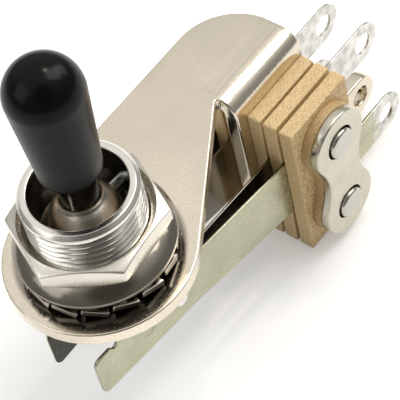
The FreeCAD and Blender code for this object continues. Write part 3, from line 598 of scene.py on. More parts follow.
def metal(name, colour, roughness, spread=0.06, tint=0.05, grain=0.25, height=0.002,
          cloud_size=3.0, tin_from=None, painted_shade_below=None, painted_shade_inside=None,
          painted_shade_inner=None, painted_shade_ring=None, flecks=None, painted_shade_along_x=None):
    """Plated metal: cloudy in colour and gloss, with a fine grain. Lengths in millimetres.

    tin_from: from this X on it is covered with bright, uneven tin
    painted_shade_below: colour of painted shade on the faces that look down
    painted_shade_inside: two radii and a height; up to the height, bore and grooves are darkened
    with painted shade within the first radius and clean past the second
    painted_shade_inner: colour of painted shade on the faces that look at the stack's middle
    plane
    painted_shade_ring: two radii and a colour of painted shade; faces that look up have it
    within the first radius and lose it by the second
    flecks: size of specks that are slightly darker
    painted_shade_along_x: two places along X, between which painted shade makes it slightly
    darker
    """
    finish = Finish(name, colour, roughness, metallic=1.0)
    cloud = finish.noise(cloud_size)

    def clouded(tone, dark, light=1.0):
        """A tone that varies softly between two shares of itself, and isn't above white."""
        return finish.ramp(cloud, *[(position, tuple(min(1.0, part * share) for part in tone))
                                    for position, share in zip(CLOUD, (dark, light))])

    plain = clouded(colour, dark=1 - tint, light=1 + tint)
    fine = finish.noise(grain)
    finish.roughness(fine, roughness - spread, roughness + spread)
    finish.raised(fine, height)
    if flecks is not None:
        worn = finish.ramp(finish.noise(flecks, detail=5.0), *zip(SPECKS, (0.0, 1.0)))
        plain = finish.blended(worn, clouded(colour, dark=0.88, light=0.94), plain)
    # Painted shade: the metal turns darker along X, standing in for light that falls off there.
    if painted_shade_along_x is not None:
        fade = finish.along(0, *painted_shade_along_x, wander=finish.noise(9.0, detail=2.0))
        plain = finish.blended(fade, plain, clouded(colour, dark=0.82, light=0.9))
    # Painted shade: faces that look at the stack's middle plane are darkened, as the shade
    # between the blades.
    if painted_shade_inner is not None:
        shade = clouded(painted_shade_inner, dark=0.8)
        plain = finish.blended(finish.away_from_middle(), shade, plain)
    # Painted shade: a dark ring on faces that look up, round the washers, where their shadow and
    # dark reflection fall.
    if painted_shade_ring is not None:
        inner, outer, tone = painted_shade_ring
        shade = clouded(tone, dark=0.6)
        shaded_ring = finish.blended(finish.outward(inner, outer), shade, plain)
        plain = finish.blended(finish.upward(), plain, shaded_ring)
    if tin_from is not None:
        edge = finish.along(0, tin_from, tin_from + TIN_BORDER, wander=finish.noise(1.1))
        tin = finish.ramp(finish.noise(1.2, detail=4.0), *TIN_TONES)
        plain = finish.blended(edge, plain, tin)
        finish.raised(finish.noise(1.3, detail=2.0), TIN_HEIGHT, strength=edge)
    # Painted shade: faces that look down are darkened, as the shade under a washer.
    if painted_shade_below is not None:
        plain = finish.blended(finish.upward(), clouded(painted_shade_below, dark=0.9), plain)
    # Painted shade: the bore and the thread's grooves are darkened up to a height, where less
    # light reaches them.
    if painted_shade_inside is not None:
        inner, outer, limit = painted_shade_inside
        groove_shade = finish.ramp(cloud, *GROOVE_SHADE_TONES)
        grooves = finish.blended(finish.outward(inner, outer), groove_shade, plain)
        plain = finish.blended(finish.along(2, limit, limit + GROOVE_BORDER), grooves, plain)
    finish.feed("Base Color", plain)
    return finish.material


def lever_metal(name):
    """Bright and polished above the ball, browner and satin on the ball."""
    finish = Finish(name, BALL_TONES[0][1], 0.1, metallic=1.0)
    cloud = finish.noise(2.0)
    rise = finish.along(2, *BALL_BORDER)
    finish.feed("Base Color", finish.blended(rise, finish.ramp(cloud, *BALL_TONES),
                                             finish.ramp(cloud, *NECK_TONES)))
    finish.roughness(rise, low=0.3, high=0.1, start=0.0, finish=1.0)
    finish.raised(finish.noise(0.2), height=0.002)
    return finish.material


def fibre(name, speckle, dark, light):
    """Pressed fibre board: light resin with brown specks and short fibres."""
    finish = Finish(name, light, 0.55)
    board = finish.noise(0.22, detail=6.0, stretch=FIBRE_STRETCH)
    finish.feed("Base Color", finish.ramp(board, (0.32, speckle), (0.45, dark), (0.62, light)))
    finish.roughness(finish.noise(0.4, detail=2.0), low=0.4, high=0.65)
    finish.raised(finish.noise(0.18, detail=4.0, stretch=FIBRE_STRETCH), height=0.02)
    return finish.material


def tip_plastic(name):
    """Black moulded plastic, worn smooth on its dome and slightly grained below it."""
    finish = Finish(name, (0.003, 0.004, 0.0033), 0.2, gloss=0.13)
    dome = finish.along(2, *DOME_BORDER, wander=finish.noise(1.5))
    finish.roughness(dome, low=0.33, high=0.19, start=0.0, finish=1.0)
    finish.raised(finish.noise(0.12), height=0.003)
    return finish.material


def nylon(name):
    finish = Finish(name, (0.82, 0.80, 0.74), 0.4)
    finish.roughness(finish.noise(0.5, detail=4.0), low=0.36, high=0.46)
    finish.raised(finish.noise(0.12), height=0.003)
    return finish.material


METALS = {
    # The frame's dark ring round the washers and its darkening along X are painted shade.
    "frame_nickel": dict(
        colour=(0.83, 0.75, 0.62), roughness=0.17, tint=0.07, height=0.005, cloud_size=7.0,
        painted_shade_ring=(8.3, 8.8, (0.36, 0.31, 0.26)), flecks=0.3, painted_shade_along_x=(6.0, 34.0)),
    # The bushing's bore and thread grooves carry painted shade.
    "bushing_nickel": dict(
        colour=(0.84, 0.81, 0.74), roughness=0.2, painted_shade_inside=(5.56, 5.86, 10.05)),
    "nut_nickel": dict(colour=(0.76, 0.72, 0.64), roughness=0.3),
    # Washer colour darkened to paint in the shade under the nut; its faces that look down get
    # painted shade too.
    "washer_nickel": dict(
        colour=(0.30, 0.27, 0.225), roughness=0.16, painted_shade_below=(0.2, 0.18, 0.15)),
    # Lock washer colour darkened to paint in the shade under the washers; its faces that look
    # down get painted shade too.
    "lock_steel": dict(
        colour=(0.50, 0.48, 0.44), roughness=0.16, painted_shade_below=(0.15, 0.14, 0.12)),
    "pin_steel": dict(colour=(0.75, 0.75, 0.74), roughness=0.2),
    # The leaf's base colour is darkened to paint in the shade between the springs.
    "leaf_silvered": dict(
        colour=(0.26, 0.24, 0.20), roughness=0.2, spread=0.03, tin_from=32.5),
    # The blade's faces towards the middle plane carry painted shade.
    "blade_zinc": dict(
        colour=(0.47, 0.465, 0.34), roughness=0.28, tint=0.08, grain=0.4, tin_from=36.5,
        painted_shade_inner=(0.06, 0.06, 0.045)),
    "contact_silver": dict(colour=(0.88, 0.87, 0.84), roughness=0.2),
    "clamp_nickel": dict(colour=(0.58, 0.55, 0.465), roughness=0.24),
    "screw_steel": dict(colour=(0.55, 0.53, 0.48), roughness=0.2),
}

# Colours of the specks, the brown resin and the light resin
FIBRES = {
    "fibre_board": ((0.46, 0.28, 0.12), (0.70, 0.495, 0.245), (0.82, 0.635, 0.345)),
    "fibre_spacer": ((0.32, 0.18, 0.08), (0.50, 0.34, 0.16), (0.60, 0.44, 0.22)),
    "sleeve_fibre": ((0.3, 0.15, 0.08), (0.45, 0.28, 0.16), (0.55, 0.36, 0.22)),
}
MATERIALS = {name: metal(name, **look) for name, look in METALS.items()}
MATERIALS.update((name, fibre(name, *tones)) for name, tones in FIBRES.items())
MATERIALS["lever_chrome"] = lever_metal("lever_chrome")
MATERIALS["tip_black"] = tip_plastic("tip_black")
MATERIALS["follower_nylon"] = nylon("follower_nylon")


def put(piece, body, node, slot):
    """The piece takes the finish of a slot and hides the CAD node it stands for. It rides on a
    body, except a spring, whose place is baked into its mesh.
    """
    piece.data.materials.append(MATERIALS[slot])
    if body == "springs":
        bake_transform(piece)
    else:
        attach(piece, body)
    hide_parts(node)


# ---- Frame plate ----

def press_mark(x, y):
    """How deep the tool's mark is at a point of the plate's top."""
    if not PRESS_MARK[-1][0] < y < PRESS_MARK[0][0]:
        return 0.0
    for (far, deep), (near, shallow) in zip(PRESS_MARK, PRESS_MARK[1:]):
        if near <= y <= far:
            depth = shallow + (deep - shallow) * (y - near) / (far - near)
            return depth * min(1.0, max(0.0, (x - PRESS_START) / PRESS_FADE))
    return 0.0


def folded(x, s, height):
    """Sheet metal bend: s runs from the plate over the fold and down the flange."""
    if s < 0 or x < FOLD_FRONT - FOLD_LIMIT:
        if height > 0:
            height -= press_mark(x, BEND_MIDDLE - s)
        return x, BEND_MIDDLE - s, height - SHEET / 2
    if s < BEND_LENGTH:
        turn = s / BEND_MIDDLE
        radius = BEND_MIDDLE + height
        return x, BEND_MIDDLE - radius * math.sin(turn), -BEND_OUTER + radius * math.cos(turn)
    return x, -height, -BEND_OUTER - (s - BEND_LENGTH)


def lug(root, reach, middle):
    """Corners of a solder lug from its root to its round end, whose centre is at reach."""
    low, high, end = middle - LUG_RADIUS, middle + LUG_RADIUS, reach + LUG_RADIUS
    return [(root, low, ROOT_CORNER), (end, low, LUG_CORNER), (end, high, LUG_CORNER),
            (root, high, ROOT_CORNER)]


def screw_holes(radius):
    return [ring(x, z, radius) for x, z in SCREWS]


def frame_plate():
    """The blank's first axis is X, and its second one is the s of folded()."""
    level = BEND_LENGTH - BEND_OUTER
    foot = level + FLANGE_DROP
    reach = math.hypot(FOLD_FRONT, BEND_MIDDLE)
    touch = math.degrees(math.atan2(BEND_MIDDLE, FOLD_FRONT) - math.acos(END_RADIUS / reach))
    lug_x, lug_z = GROUND_LUG
    end = [(point.x, BEND_MIDDLE - point.y)
           for point in arc(0, 0, END_RADIUS, 90, 360 + touch)]
    outline = rounded(end + [
        (FOLD_FRONT, 0, ROOT_CORNER),
        (FOLD_FRONT, foot, FLANGE_CORNER),
        (FOLD_REAR, foot, FLANGE_REAR_CORNER),
        *reversed(lug(FOLD_REAR, lug_x, level - lug_z)),
        (FOLD_REAR, BEND_MIDDLE - END_RADIUS, CORNER_RADIUS),
    ])
    holes = [ring(0, BEND_MIDDLE, SPIGOT_RADIUS), ring(lug_x, level - lug_z, LUG_HOLE)]
    holes += [ring(x, level - z, SLEEVE_HOLE) for x, z in SCREWS]
    cuts = [(1, BEND_LENGTH * step / BEND_STEPS) for step in range(BEND_STEPS + 1)]
    cuts += [(1, BEND_MIDDLE - y) for y, _ in PRESS_MARK]
    cuts += [(0, PRESS_START), (0, PRESS_START + PRESS_FADE)]
    return stamped("frame_plate_sheet", outline, holes, SHEET, SHEET_EDGE, folded, cuts=cuts)


put(frame_plate(), "frame", "frame_plate", "frame_nickel")


# ---- Bushing, nut and washers ----

def thread_row(height):
    """One level of the outside thread, which fades in and out at its ends."""
    def row(turn):
        phase = (height / THREAD_PITCH - turn / (2 * math.pi)) % 1.0
        away = abs(phase - 0.5) * 2
        groove = min(1.0, max(0.0, (away - THREAD_CREST) / (1 - 2 * THREAD_CREST)))
        fade = min(1.0, max(0.0, (height - THREAD_START) / THREAD_FADES[0]),
                   max(0.0, (THREAD_FINISH - height) / THREAD_FADES[1]))
        return THREAD_RADIUS - THREAD_DEPTH * groove * fade, height
    return row


def bushing():
    """Threaded tube on a flanged foot that holds the plate, with a countersunk throat."""
    low, foot = -SHEET, -SHEET - FOOT_HEIGHT
    length = THREAD_FINISH - THREAD_START
    count = int(length / THREAD_PITCH * THREAD_LEVELS)
    base = rounded([
        (THROAT_RADIUS, foot, FINE_EDGE), (FOOT_RADIUS - FOOT_CHAMFER, foot, FOOT_LOW_EDGE),
        (FOOT_RADIUS, low - FOOT_CHAMFER, FOOT_SIDE_EDGE), (FOOT_RADIUS, low),
        (SPIGOT_RADIUS, low), (SPIGOT_RADIUS, 0), (THREAD_RADIUS, 0, FINE_EDGE),
        (THREAD_RADIUS, THREAD_START), (BORE_RADIUS, THREAD_START), (BORE_RADIUS, BORE_FLOOR),
        (THROAT_RADIUS, THROAT_TOP),
    ])
    rim = rounded([
        (THREAD_RADIUS, THREAD_FINISH),
        (THREAD_RADIUS, BUSHING_TOP - BUSHING_CHAMFER, FINE_EDGE),
        (THREAD_RADIUS - BUSHING_CHAMFER, BUSHING_TOP, TURNED_EDGE),
        (BORE_RADIUS, BUSHING_TOP, BORE_EDGE), (BORE_RADIUS, THREAD_FINISH),
    ])
    rows = base[:base.index(Vector((THREAD_RADIUS, THREAD_START)))]
    rows += [thread_row(THREAD_START + length * step / count) for step in range(count + 1)]
    rows += rim[1:-1] + [(BORE_RADIUS, BORE_FLOOR), (THROAT_RADIUS, THROAT_TOP)]
    return turned("threaded_bushing_turning", rows, steps=BUSHING_STEPS)


def hexagon(turn):
    """Distance to the nut's side at a turn, with slightly blunted corners."""
    sixth = math.pi / 3
    off = (turn - math.radians(NUT_TURN) + sixth / 2) % sixth - sixth / 2
    flat = NUT_FLATS / 2 / math.cos(sixth / 2 - abs(off))
    return min(flat, NUT_FLATS / 2 / math.cos(sixth / 2) - NUT_CORNER_CUT)


def hex_nut():
    """Nut with a countersunk thread and slightly crowned faces over its band of sides."""
    flat = NUT_FLATS / 2

    def drop(radius):
        """How far a face lies behind its middle, at a distance from the axis."""
        if radius < flat:
            return NUT_CROWN * (radius - NUT_SINK_RADIUS) / (flat - NUT_SINK_RADIUS)
        return NUT_CROWN + (radius - flat) * NUT_CHAMFER_SLOPE

    def face(level, way, step):
        """A row of a face that looks up or down, from its countersink to its edge."""
        def row(turn):
            width = hexagon(turn) - NUT_FACE_INSET - NUT_SINK_RADIUS
            radius = NUT_SINK_RADIUS + width * step / NUT_FACE_STEPS
            return radius, level - drop(radius) * way
        return row

    def edge(level, way, inward, behind):
        """A row of the rounded edge between a face and the sides."""
        def row(turn):
            side = hexagon(turn)
            return side - inward, level - (drop(side) + behind) * way
        return row

    steps = range(NUT_FACE_STEPS + 1)
    rows = [(NUT_BORE, NUT_LOW + NUT_LOW_SINK_DEPTH), (NUT_BORE, NUT_TOP - NUT_SINK_DEPTH),
            (NUT_SINK_RADIUS - NUT_SINK_EDGE, NUT_TOP - NUT_SINK_EDGE)]
    rows += [face(NUT_TOP, 1, step) for step in steps]
    rows += [edge(NUT_TOP, 1, *spot) for spot in NUT_EDGE_ROWS]
    rows += [edge(NUT_LOW, -1, *spot) for spot in reversed(NUT_EDGE_ROWS)]
    rows += [face(NUT_LOW, -1, step) for step in reversed(steps)]
    rows.append((NUT_LOW_SINK_RADIUS, NUT_LOW))
    return turned("hex_nut_blank", rows, steps=NUT_STEPS)


def dished_washer():
    """Domed washer under the nut, with softened rims."""
    rim, crown = DISH_TOP - DISH_SHEET, DISH_CROWN - DISH_SHEET
    under = bowed((DISH_RADIUS - DISH_SHEET, rim), (DISH_HOLE, crown), DISH_CURVE - DISH_SHEET)
    over = bowed((DISH_RADIUS, DISH_TOP), (DISH_HOLE, DISH_CROWN), DISH_CURVE)
    rows = rounded([(DISH_HOLE, crown), *under[-2::-1], (DISH_RADIUS, rim, DISH_EDGE),
                    (DISH_RADIUS, DISH_TOP, DISH_EDGE), *over[1:-1],
                    (DISH_HOLE, DISH_CROWN, FINE_EDGE)])
    return turned("dished_washer_pressing", rows)


def tooth_spot(x, y):
    """A point of the lock washer's blank as (out, across) on its tooth, with the tooth's turn."""
    pitch = 2 * math.pi / TOOTH_COUNT
    first = math.radians(TOOTH_TURN)
    turn = math.atan2(y, x) - first
    tooth = round(turn / pitch) * pitch
    radius = math.hypot(x, y)
    return radius * math.cos(turn - tooth), radius * math.sin(turn - tooth), tooth + first


def twisted(x, y, height):
    """Twists each tooth about its own middle line, so its clockwise side stands high."""
    out, across, turn = tooth_spot(x, y)
    share = min(1.0, max(0.0, (out - TWIST_START) / (TOOTH_RADIUS - TWIST_START)))
    twist = -math.radians(TOOTH_TWIST) * share
    side = across * math.cos(twist) - height * math.sin(twist)
    rise = across * math.sin(twist) + height * math.cos(twist)
    return (out * math.cos(turn) - side * math.sin(turn),
            out * math.sin(turn) + side * math.cos(turn), LOCK_MIDDLE + rise)


def lock_washer():
    corners, inner = [], []
    root_half, half = TOOTH_ROOT_WIDTH / 2, TOOTH_WIDTH / 2
    root = math.sqrt(TOOTH_ROOT ** 2 - root_half ** 2)
    for tooth in range(TOOTH_COUNT):
        turn = Matrix.Rotation(math.radians(TOOTH_TURN + 360 / TOOTH_COUNT * tooth), 2)
        for spot in ((root, -root_half), (TOOTH_RADIUS, -half), (TOOTH_RADIUS, half),
                     (root, root_half)):
            corners.append((*(turn @ Vector(spot)), TOOTH_CORNER))
        inner += [turn @ Vector((out, across)) for out in TOOTH_GRID_OUT
                  for across in TOOTH_GRID_ACROSS]
    return stamped("lock_washer_stamping", rounded(corners), [ring(0, 0, LOCK_HOLE)],
                   LOCK_SHEET, LOCK_EDGE, twisted, inner)


put(bushing(), "frame", "threaded_bushing", "bushing_nickel")
put(hex_nut(), "nut", "hex_nut", "nut_nickel")
put(dished_washer(), "frame", "dished_washer", "washer_nickel")
put(lock_washer(), "frame", "lock_washer", "lock_steel")


# ---- Lever ----

def lever():
    """Ball with its neck and the tip's stud above it, and a shank with a thin core below."""
    swing = BALL_RADIUS + NECK_FILLET
    out = NECK_RADIUS + NECK_FILLET
    rise = math.sqrt(swing * swing - out * out)
    turn = math.degrees(math.atan2(rise, out))
    shank = math.degrees(math.asin(SHANK_RADIUS / BALL_RADIUS)) - 90
    ball = arc(0, PIVOT_HEIGHT, BALL_RADIUS, shank, turn)
    fillet = arc(out, PIVOT_HEIGHT + rise, NECK_FILLET, 180 + turn, 180)
    rows = rounded([(0, CORE_FOOT), (CORE_RADIUS, CORE_FOOT, TURNED_EDGE),
                    (CORE_RADIUS, FOLLOWER_TOP), (SHANK_RADIUS, FOLLOWER_TOP, TURNED_EDGE),
                    *ball, *fillet[1:], (NECK_RADIUS, STUD_FOOT), (STUD_RADIUS, STUD_FOOT),
                    (STUD_RADIUS, STUD_TOP, STUD_EDGE), (0, STUD_TOP)])
    return turned("toggle_lever_turning", rows)


def tip():
    """Tapered cap with a round dome, hollow for the stud."""
    dome = arc(0, TIP_HEIGHT - TIP_RADIUS, TIP_RADIUS, 0, 90)
    rows = rounded([(NECK_RADIUS, TIP_FOOT, FINE_EDGE),
                    (TIP_FOOT_RADIUS, TIP_FOOT, TIP_FOOT_EDGE), *dome, (0, STUD_TOP),
                    (STUD_RADIUS, STUD_TOP), (STUD_RADIUS, STUD_FOOT),
                    (NECK_RADIUS, STUD_FOOT)])
    return turned("lever_tip_moulding", rows)


def follower():
    """Barrel-shaped sleeve on the lever's core."""
    half = (FOLLOWER_TOP - FOLLOWER_LOW) / 2
    barrel = (half * half + FOLLOWER_CROWN ** 2) / (FOLLOWER_CROWN * 2)
    swing = math.degrees(math.asin(half / barrel))
    middle = (FOLLOWER_TOP + FOLLOWER_LOW) / 2
    side = arc(FOLLOWER_RADIUS - barrel, middle, barrel, -swing, swing)
    rows = [(0, FOLLOWER_LOW), (side[0].x - FOLLOWER_CHAMFER, FOLLOWER_LOW), *side,
            (CORE_RADIUS, FOLLOWER_TOP), (CORE_RADIUS, CORE_FOOT), (0, CORE_FOOT)]
    return turned("lever_follower_sleeve", rows)


def pivot_pin():
    rows = rounded([(0, -PIN_HALF), (PIN_RADIUS, -PIN_HALF, TURNED_EDGE),
                    (PIN_RADIUS, PIN_HALF, TURNED_EDGE), (0, PIN_HALF)])

    def along_x(u, v, w):
        return w, u, PIVOT_HEIGHT + v
    return turned("pivot_pin_turning", rows, along_x, PIN_STEPS)


put(lever(), "lever", "toggle_lever", "lever_chrome")
put(tip(), "lever", "lever_tip", "tip_black")
put(follower(), "lever", "lever_follower", "follower_nylon")
put(pivot_pin(), "frame", "pivot_pin", "pin_steel")


# ---- Stack ----

def layer(name, outline, holes, faces, side, edge, **more):
    """A blank seen from the side, with its faces at two distances from the middle plane."""
    inner, outer = faces

    def standing(x, z, height):
        return x, ((inner + outer) / 2 + height) * side, z
    return stamped(name, outline, holes, outer - inner, edge, standing, **more)


def board():
    return rounded([(x, z, BLOCK_CORNER) for x, z in (
        (BLOCK_FRONT, BLOCK_TOP), (BLOCK_REAR, BLOCK_TOP), (BLOCK_REAR, BLOCK_FOOT),
        (BLOCK_FRONT, BLOCK_FOOT))])


def eight():
    """Two round lobes joined by a waist with hollow sides."""
    (x, upper), (_, lower) = SCREWS
    half = (upper - lower) / 2
    hollow = ((half * half + WAIST_HALF ** 2 - LOBE_RADIUS ** 2)
              / (2 * (LOBE_RADIUS - WAIST_HALF)))
    lean = math.degrees(math.atan2(half, WAIST_HALF + hollow))
    middle = (upper + lower) / 2
    loop = arc(x, upper, LOBE_RADIUS, -lean, 180 + lean)
    loop += arc(x - WAIST_HALF - hollow, middle, hollow, lean, -lean)[1:]
    loop += arc(x, lower, LOBE_RADIUS, 180 - lean, 360 + lean)[1:]
    loop += arc(x + WAIST_HALF + hollow, middle, hollow, 180 + lean, 180 - lean)[1:-1]
    return loop


def spring_holes(lug_height):
    return screw_holes(SLEEVE_HOLE) + [ring(LUG_REACH, lug_height, LUG_HOLE),
                                       ring(*CONTACT, RIVET_RADIUS)]


def leaf(name, side):
    outline = rounded([
        (PAD_REAR, PAD_TOP), (PAD_FRONT, PAD_TOP), (PAD_FRONT, LEAF_TOP, ROOT_CORNER),
        (LEAF_FRONT, LEAF_TIP_TOP, FREE_CORNER), (LEAF_FRONT, LEAF_FOOT, FREE_CORNER),
        (PAD_FRONT, LEAF_ROOT_FOOT, ROOT_CORNER), (PAD_FRONT, PAD_FOOT), (PAD_REAR, PAD_FOOT),
        *lug(PAD_REAR, LUG_REACH, UPPER_LUG),
    ])
    return layer(name, outline, spring_holes(UPPER_LUG), LEAF, side, LEAF_EDGE, cuts=LEAF_CUTS)


def dimple(x, z):
    """How far the blade's dimple is pressed in at a point, from 0 to its depth."""
    ball = (DIMPLE_RADIUS ** 2 + DIMPLE_DEPTH ** 2) / (2 * DIMPLE_DEPTH)
    away = math.hypot(x, z - DIMPLE_HEIGHT)
    if away >= DIMPLE_RADIUS:
        return 0.0
    return math.sqrt(ball * ball - away * away) - (ball - DIMPLE_DEPTH)


def blade_middle(x):
    """Distance of the blade's middle layer from the middle plane, flat in the stack and then
    leaning in to the follower."""
    return (BLADE[0] + BLADE[1]) / 2 - max(0.0, BLOCK_FRONT - x) * BLADE_LEAN


def blade(name, side):
    outline = rounded([
        (PAD_REAR, PAD_TOP), (PAD_FRONT, PAD_TOP), (PAD_FRONT, BLADE_ROOT_TOP, ROOT_CORNER),
        (STEP_FRONT, BLADE_TIP_TOP, BLADE_TOP_CORNER),
        *[(STEP_FRONT - ahead, TAB_TOP - depth, radius) for ahead, depth, radius in NOTCH],
        (BLADE_FRONT, TAB_TOP, FREE_CORNER), (BLADE_FRONT, BLADE_TIP_FOOT, FREE_CORNER),
        (TAPER_END, BLADE_MID_FOOT), (PAD_FRONT, BLADE_ROOT_FOOT, ROOT_CORNER),
        (PAD_FRONT, PAD_FOOT), (PAD_REAR, PAD_FOOT), *lug(PAD_REAR, LUG_REACH, LOWER_LUG),
    ])
    inner = [Vector((0, DIMPLE_HEIGHT))]
    for share in DIMPLE_RINGS:
        inner += ring(0, DIMPLE_HEIGHT, DIMPLE_RADIUS * share)

    def bent(x, z, height):
        return x, (blade_middle(x) - dimple(x, z) + height) * side, z
    return stamped(name, outline, spring_holes(LOWER_LUG), BLADE[1] - BLADE[0], BLADE_EDGE,
                   bent, inner, BLADE_CUTS)


def screws():
    """Both clamp screws as one piece: slotted heads on the left, and on the right rounded ends
    that stand a little proud of the clamp plate."""
    end = -CLAMP[1] - SCREW_PROUD
    head = CLAMP[1] + HEAD_HEIGHT
    floor = head - SLOT_DEPTH
    rows = rounded([
        (0, end), (SCREW_RADIUS, end, SCREW_EDGE), (SCREW_RADIUS, CLAMP[1]),
        (HEAD_RADIUS, CLAMP[1], FINE_EDGE), (HEAD_RADIUS, floor),
        (HEAD_RADIUS, head, HEAD_EDGE), (0, head),
    ])
    half = SLOT_WIDTH / 2
    cuts = [(1, way * edge) for way in (-1, 1) for edge in (half, half + SLOT_WALL)]
    pair = []
    for (x, z), turn in zip(SCREWS, SLOT_TURNS):
        lean = Matrix.Rotation(math.radians(turn), 2)

        def place(u, v, w, x=x, z=z, lean=lean):
            if w > floor and abs(v) < half + SLOT_WALL / 2:
                w = floor
            u, v = lean @ Vector((u, v))
            return x + u, w, z + v
        pair.append(turned("clamp_screw_turnings", rows, place, SCREW_STEPS, cuts))
    return joined(pair)


def joined(pieces):
    """Several pieces as one: their meshes together in the first."""
    mesh = bmesh.new()
    for piece in pieces:
        mesh.from_mesh(piece.data)
    mesh.to_mesh(pieces[0].data)
    mesh.free()
    for piece in pieces[1:]:
        bpy.data.objects.remove(piece)
    return pieces[0]


def contact(name, sheet, head, place):
    """A rivet through a sheet, with a domed silver head."""
    shoulder = sheet / 2
    rim = shoulder + head - CONTACT_DOME
    crown = (CONTACT_RADIUS ** 2 + CONTACT_DOME ** 2) / (CONTACT_DOME * 2)
    swing = math.degrees(math.asin(CONTACT_RADIUS / crown))
    dome = arc(0, rim + CONTACT_DOME - crown, crown, 90 - swing, 90)
    rows = rounded([(0, -shoulder), (RIVET_RADIUS, -shoulder, RIVET_EDGE),
                    (RIVET_RADIUS, shoulder), (CONTACT_RADIUS, shoulder, CONTACT_EDGE), *dome])
    return turned(name, rows, place, CONTACT_STEPS)


def put_contacts(word, side):
    """The rivets of a leaf and a blade, whose heads share the gap between them."""
    x, z = CONTACT
    leaf_sheet, blade_sheet = LEAF[1] - LEAF[0], BLADE[1] - BLADE[0]
    gap = blade_middle(x) - blade_sheet / 2 - LEAF[1]

    def on_leaf(u, v, w):
        return x + u, ((LEAF[0] + LEAF[1]) / 2 + w) * side, z + v

    def on_blade(u, v, w):
        return x + u, (blade_middle(x + u) - w) * side, z + v
    for node, sheet, place in (("leaf_contact_" + word, leaf_sheet, on_leaf),
                               ("blade_contact_" + word, blade_sheet, on_blade)):
        rivet = contact(node + "_rivet", sheet, gap / 2, place)
        put(rivet, "springs", node, "contact_silver")


for word, side in SIDES:
    for depth, faces in INSULATORS:
        node = "%s_insulator_%s" % (depth, word)
        insulator = layer(node + "_board", board(), screw_holes(SLEEVE_HOLE), faces, side,
                          BOARD_EDGE)
        put(insulator, "frame", node, "fibre_board")
    node = "end_spacer_" + word
    spacer = layer(node + "_board", eight(), screw_holes(SLEEVE_HOLE), SPACER, side, BOARD_EDGE)
    put(spacer, "frame", node, "fibre_spacer")
    node = "clamp_plate_" + word
    clamp = layer(node + "_stamping", eight(), screw_holes(CLAMP_HOLE), CLAMP, side, CLAMP_EDGE,
                  rim=CLAMP_RIM)
    put(clamp, "frame", node, "clamp_nickel")
    node = "contact_leaf_" + word
    put(leaf(node + "_sheet", side), "springs", node, "leaf_silvered")
    node = "spring_blade_" + word
    put(blade(node + "_sheet", side), "springs", node, "blade_zinc")
    put_contacts(word, side)
put(screws(), "frame", "clamp_screws", "screw_steel")

for node in ("upper_sleeve", "lower_sleeve"):
    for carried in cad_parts[node].material_slots:
        carried.material = MATERIALS["sleeve_fibre"]


# ---- Floor, light and camera ----

FLOOR_HEIGHT = -23.0
FLOOR_HALF = 600
FLOOR_CELLS = 8
FLOOR_TONE = (0.95, 0.95, 0.95)
FLOOR_GLOW = 0.26
LAMP_DISTANCE = 260
PART_MIDDLE = (8, 0, 0)
TIP_MIDDLE = (0, 0, 24)

# Directions are (azimuth, elevation) in degrees. The tones go from the far side of the room's
# light to the light, and the dark side fades between two cosines of the angle from its middle.
ROOM_LIGHT = (40, 72)
ROOM_TONES = ((0.0, (0.26, 0.26, 0.26)), (0.4, (0.36, 0.36, 0.35)), (0.6, (0.66, 0.66, 0.64)),
              (0.7, (0.76, 0.75, 0.73)), (0.89, (0.78, 0.77, 0.75)), (0.95, (0.93, 0.92, 0.90)),
              (1.0, (0.95, 0.94, 0.92)))
DARK_SIDE = (-128, 46)
DARK_EDGE = (0.84, 0.95)
DARK_TONE = (0.12, 0.12, 0.11)

CAMERA_PLACE = (-65.723, -94.535, 154.859)
CAMERA_TARGET = (9.246, -5.575, 1.284)
CAMERA_ROLL = 15.224
SENSOR = 36.0
LENS = 179.21
CLIP_START = 5


def floor():
    """A pale floor that looks white to the camera, in mirrors and through glass."""
    mesh = bmesh.new()
    bmesh.ops.create_grid(mesh, x_segments=FLOOR_CELLS, y_segments=FLOOR_CELLS,
                          size=FLOOR_HALF * MM)
    for vert in mesh.verts:
        vert.co.z = FLOOR_HEIGHT * MM
    data = bpy.data.meshes.new("floor")
    mesh.to_mesh(data)
    mesh.free()
    plane = bpy.data.objects.new("floor", data)
    bpy.context.collection.objects.link(plane)
    finish = Finish("floor_white", FLOOR_TONE, 0.9)
    rays = finish.node("ShaderNodeLightPath").outputs
    seen = rays["Is Camera Ray"]
    for ray in ("Is Glossy Ray", "Is Transmission Ray"):
        seen = finish.node("ShaderNodeMath", {0: seen, 1: rays[ray]}, "MAXIMUM").outputs[0]
    strength = finish.node("ShaderNodeMath", {0: seen, 1: FLOOR_GLOW}, "MULTIPLY").outputs[0]
    glow = finish.node("ShaderNodeEmission", {"Color": WHITE, "Strength": strength})
    mixed = finish.node("ShaderNodeAddShader", {0: finish.shader.outputs[0],
                                                1: glow.outputs[0]})
    finish.tree.links.new(mixed.outputs[0],
                          finish.tree.nodes["Material Output"].inputs["Surface"])
    data.materials.append(finish.material)


def direction(azimuth, elevation):
    turn, rise = math.radians(azimuth), math.radians(elevation)
    return Vector((math.cos(rise) * math.cos(turn), math.cos(rise) * math.sin(turn),
                   math.sin(rise)))


def softbox(name, way, size, strength, colour, target=PART_MIDDLE):
    """A rectangular lamp that faces a point of the part, from an azimuth and an elevation."""
    lamp = bpy.data.lights.new(name, "AREA")
    lamp.shape = "RECTANGLE"
    lamp.size, lamp.size_y = size[0] * MM, size[1] * MM
    lamp.energy = strength
    lamp.color = colour
    holder = bpy.data.objects.new(name, lamp)
    away = direction(*way)
    holder.location = (Vector(target) + away * LAMP_DISTANCE) * MM
    holder.rotation_euler = (-away).to_track_quat("-Z", "Y").to_euler()
    bpy.context.collection.objects.link(holder)


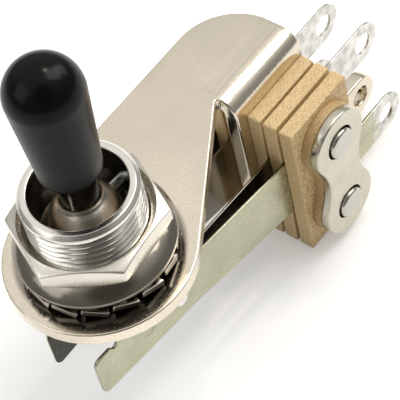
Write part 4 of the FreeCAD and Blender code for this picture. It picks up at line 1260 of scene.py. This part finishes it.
def surroundings():
    """A pale room that is brightest behind the part and overhead, grey near the horizon and
    dark where the photographer stands. The camera itself sees plain white."""
    world = bpy.data.worlds.new("studio")
    bpy.context.scene.world = world
    world.use_nodes = True
    tree = world.node_tree
    place = new_node(tree, "ShaderNodeTexCoord").outputs["Generated"]
    to_light, to_dark = [
        new_node(tree, "ShaderNodeVectorMath", {0: place, 1: direction(*way)},
                 "DOT_PRODUCT").outputs["Value"] for way in (ROOM_LIGHT, DARK_SIDE)]
    dark = new_node(tree, "ShaderNodeMapRange", {
        "From Min": DARK_EDGE[0], "From Max": DARK_EDGE[1], "Value": to_dark})
    toned = new_node(tree, "ShaderNodeMix", {
        "Factor": dark.outputs["Result"], "A": new_ramp(tree, to_light, ROOM_TONES),
        "B": (*DARK_TONE, 1)})
    rays = new_node(tree, "ShaderNodeLightPath")
    seen = new_node(tree, "ShaderNodeMix", {
        "Factor": rays.outputs["Is Camera Ray"], "A": toned.outputs["Result"], "B": WHITE})
    tree.links.new(seen.outputs["Result"], tree.nodes["Background"].inputs["Color"])


def camera():
    data = bpy.data.cameras.new("camera")
    data.sensor_width = SENSOR
    data.lens = LENS
    data.clip_start = CLIP_START * MM
    holder = bpy.data.objects.new("camera", data)
    way = Vector(CAMERA_TARGET) - Vector(CAMERA_PLACE)
    aim = way.to_track_quat("-Z", "Y").to_matrix().to_4x4()
    roll = Matrix.Rotation(math.radians(-CAMERA_ROLL), 4, "Z")
    holder.matrix_world = Matrix.Translation(Vector(CAMERA_PLACE) * MM) @ aim @ roll
    bpy.context.collection.objects.link(holder)
    bpy.context.scene.camera = holder


floor()
surroundings()
softbox("key_softbox", way=(-24, 58), size=(130, 150), strength=0.22, colour=(1.0, 0.97, 0.93))
softbox("spot_softbox", way=(10, 62), size=(14, 14), strength=0.06, colour=(1.0, 0.90, 0.76),
        target=TIP_MIDDLE)
softbox("side_softbox", way=(-12, 36), size=(110, 110), strength=0.1,
        colour=(1.0, 0.98, 0.96))
softbox("left_softbox", way=(152, 36), size=(150, 150), strength=0.075,
        colour=(0.95, 0.98, 1.0))
camera()
bpy.context.scene.view_settings.view_transform = "Standard"
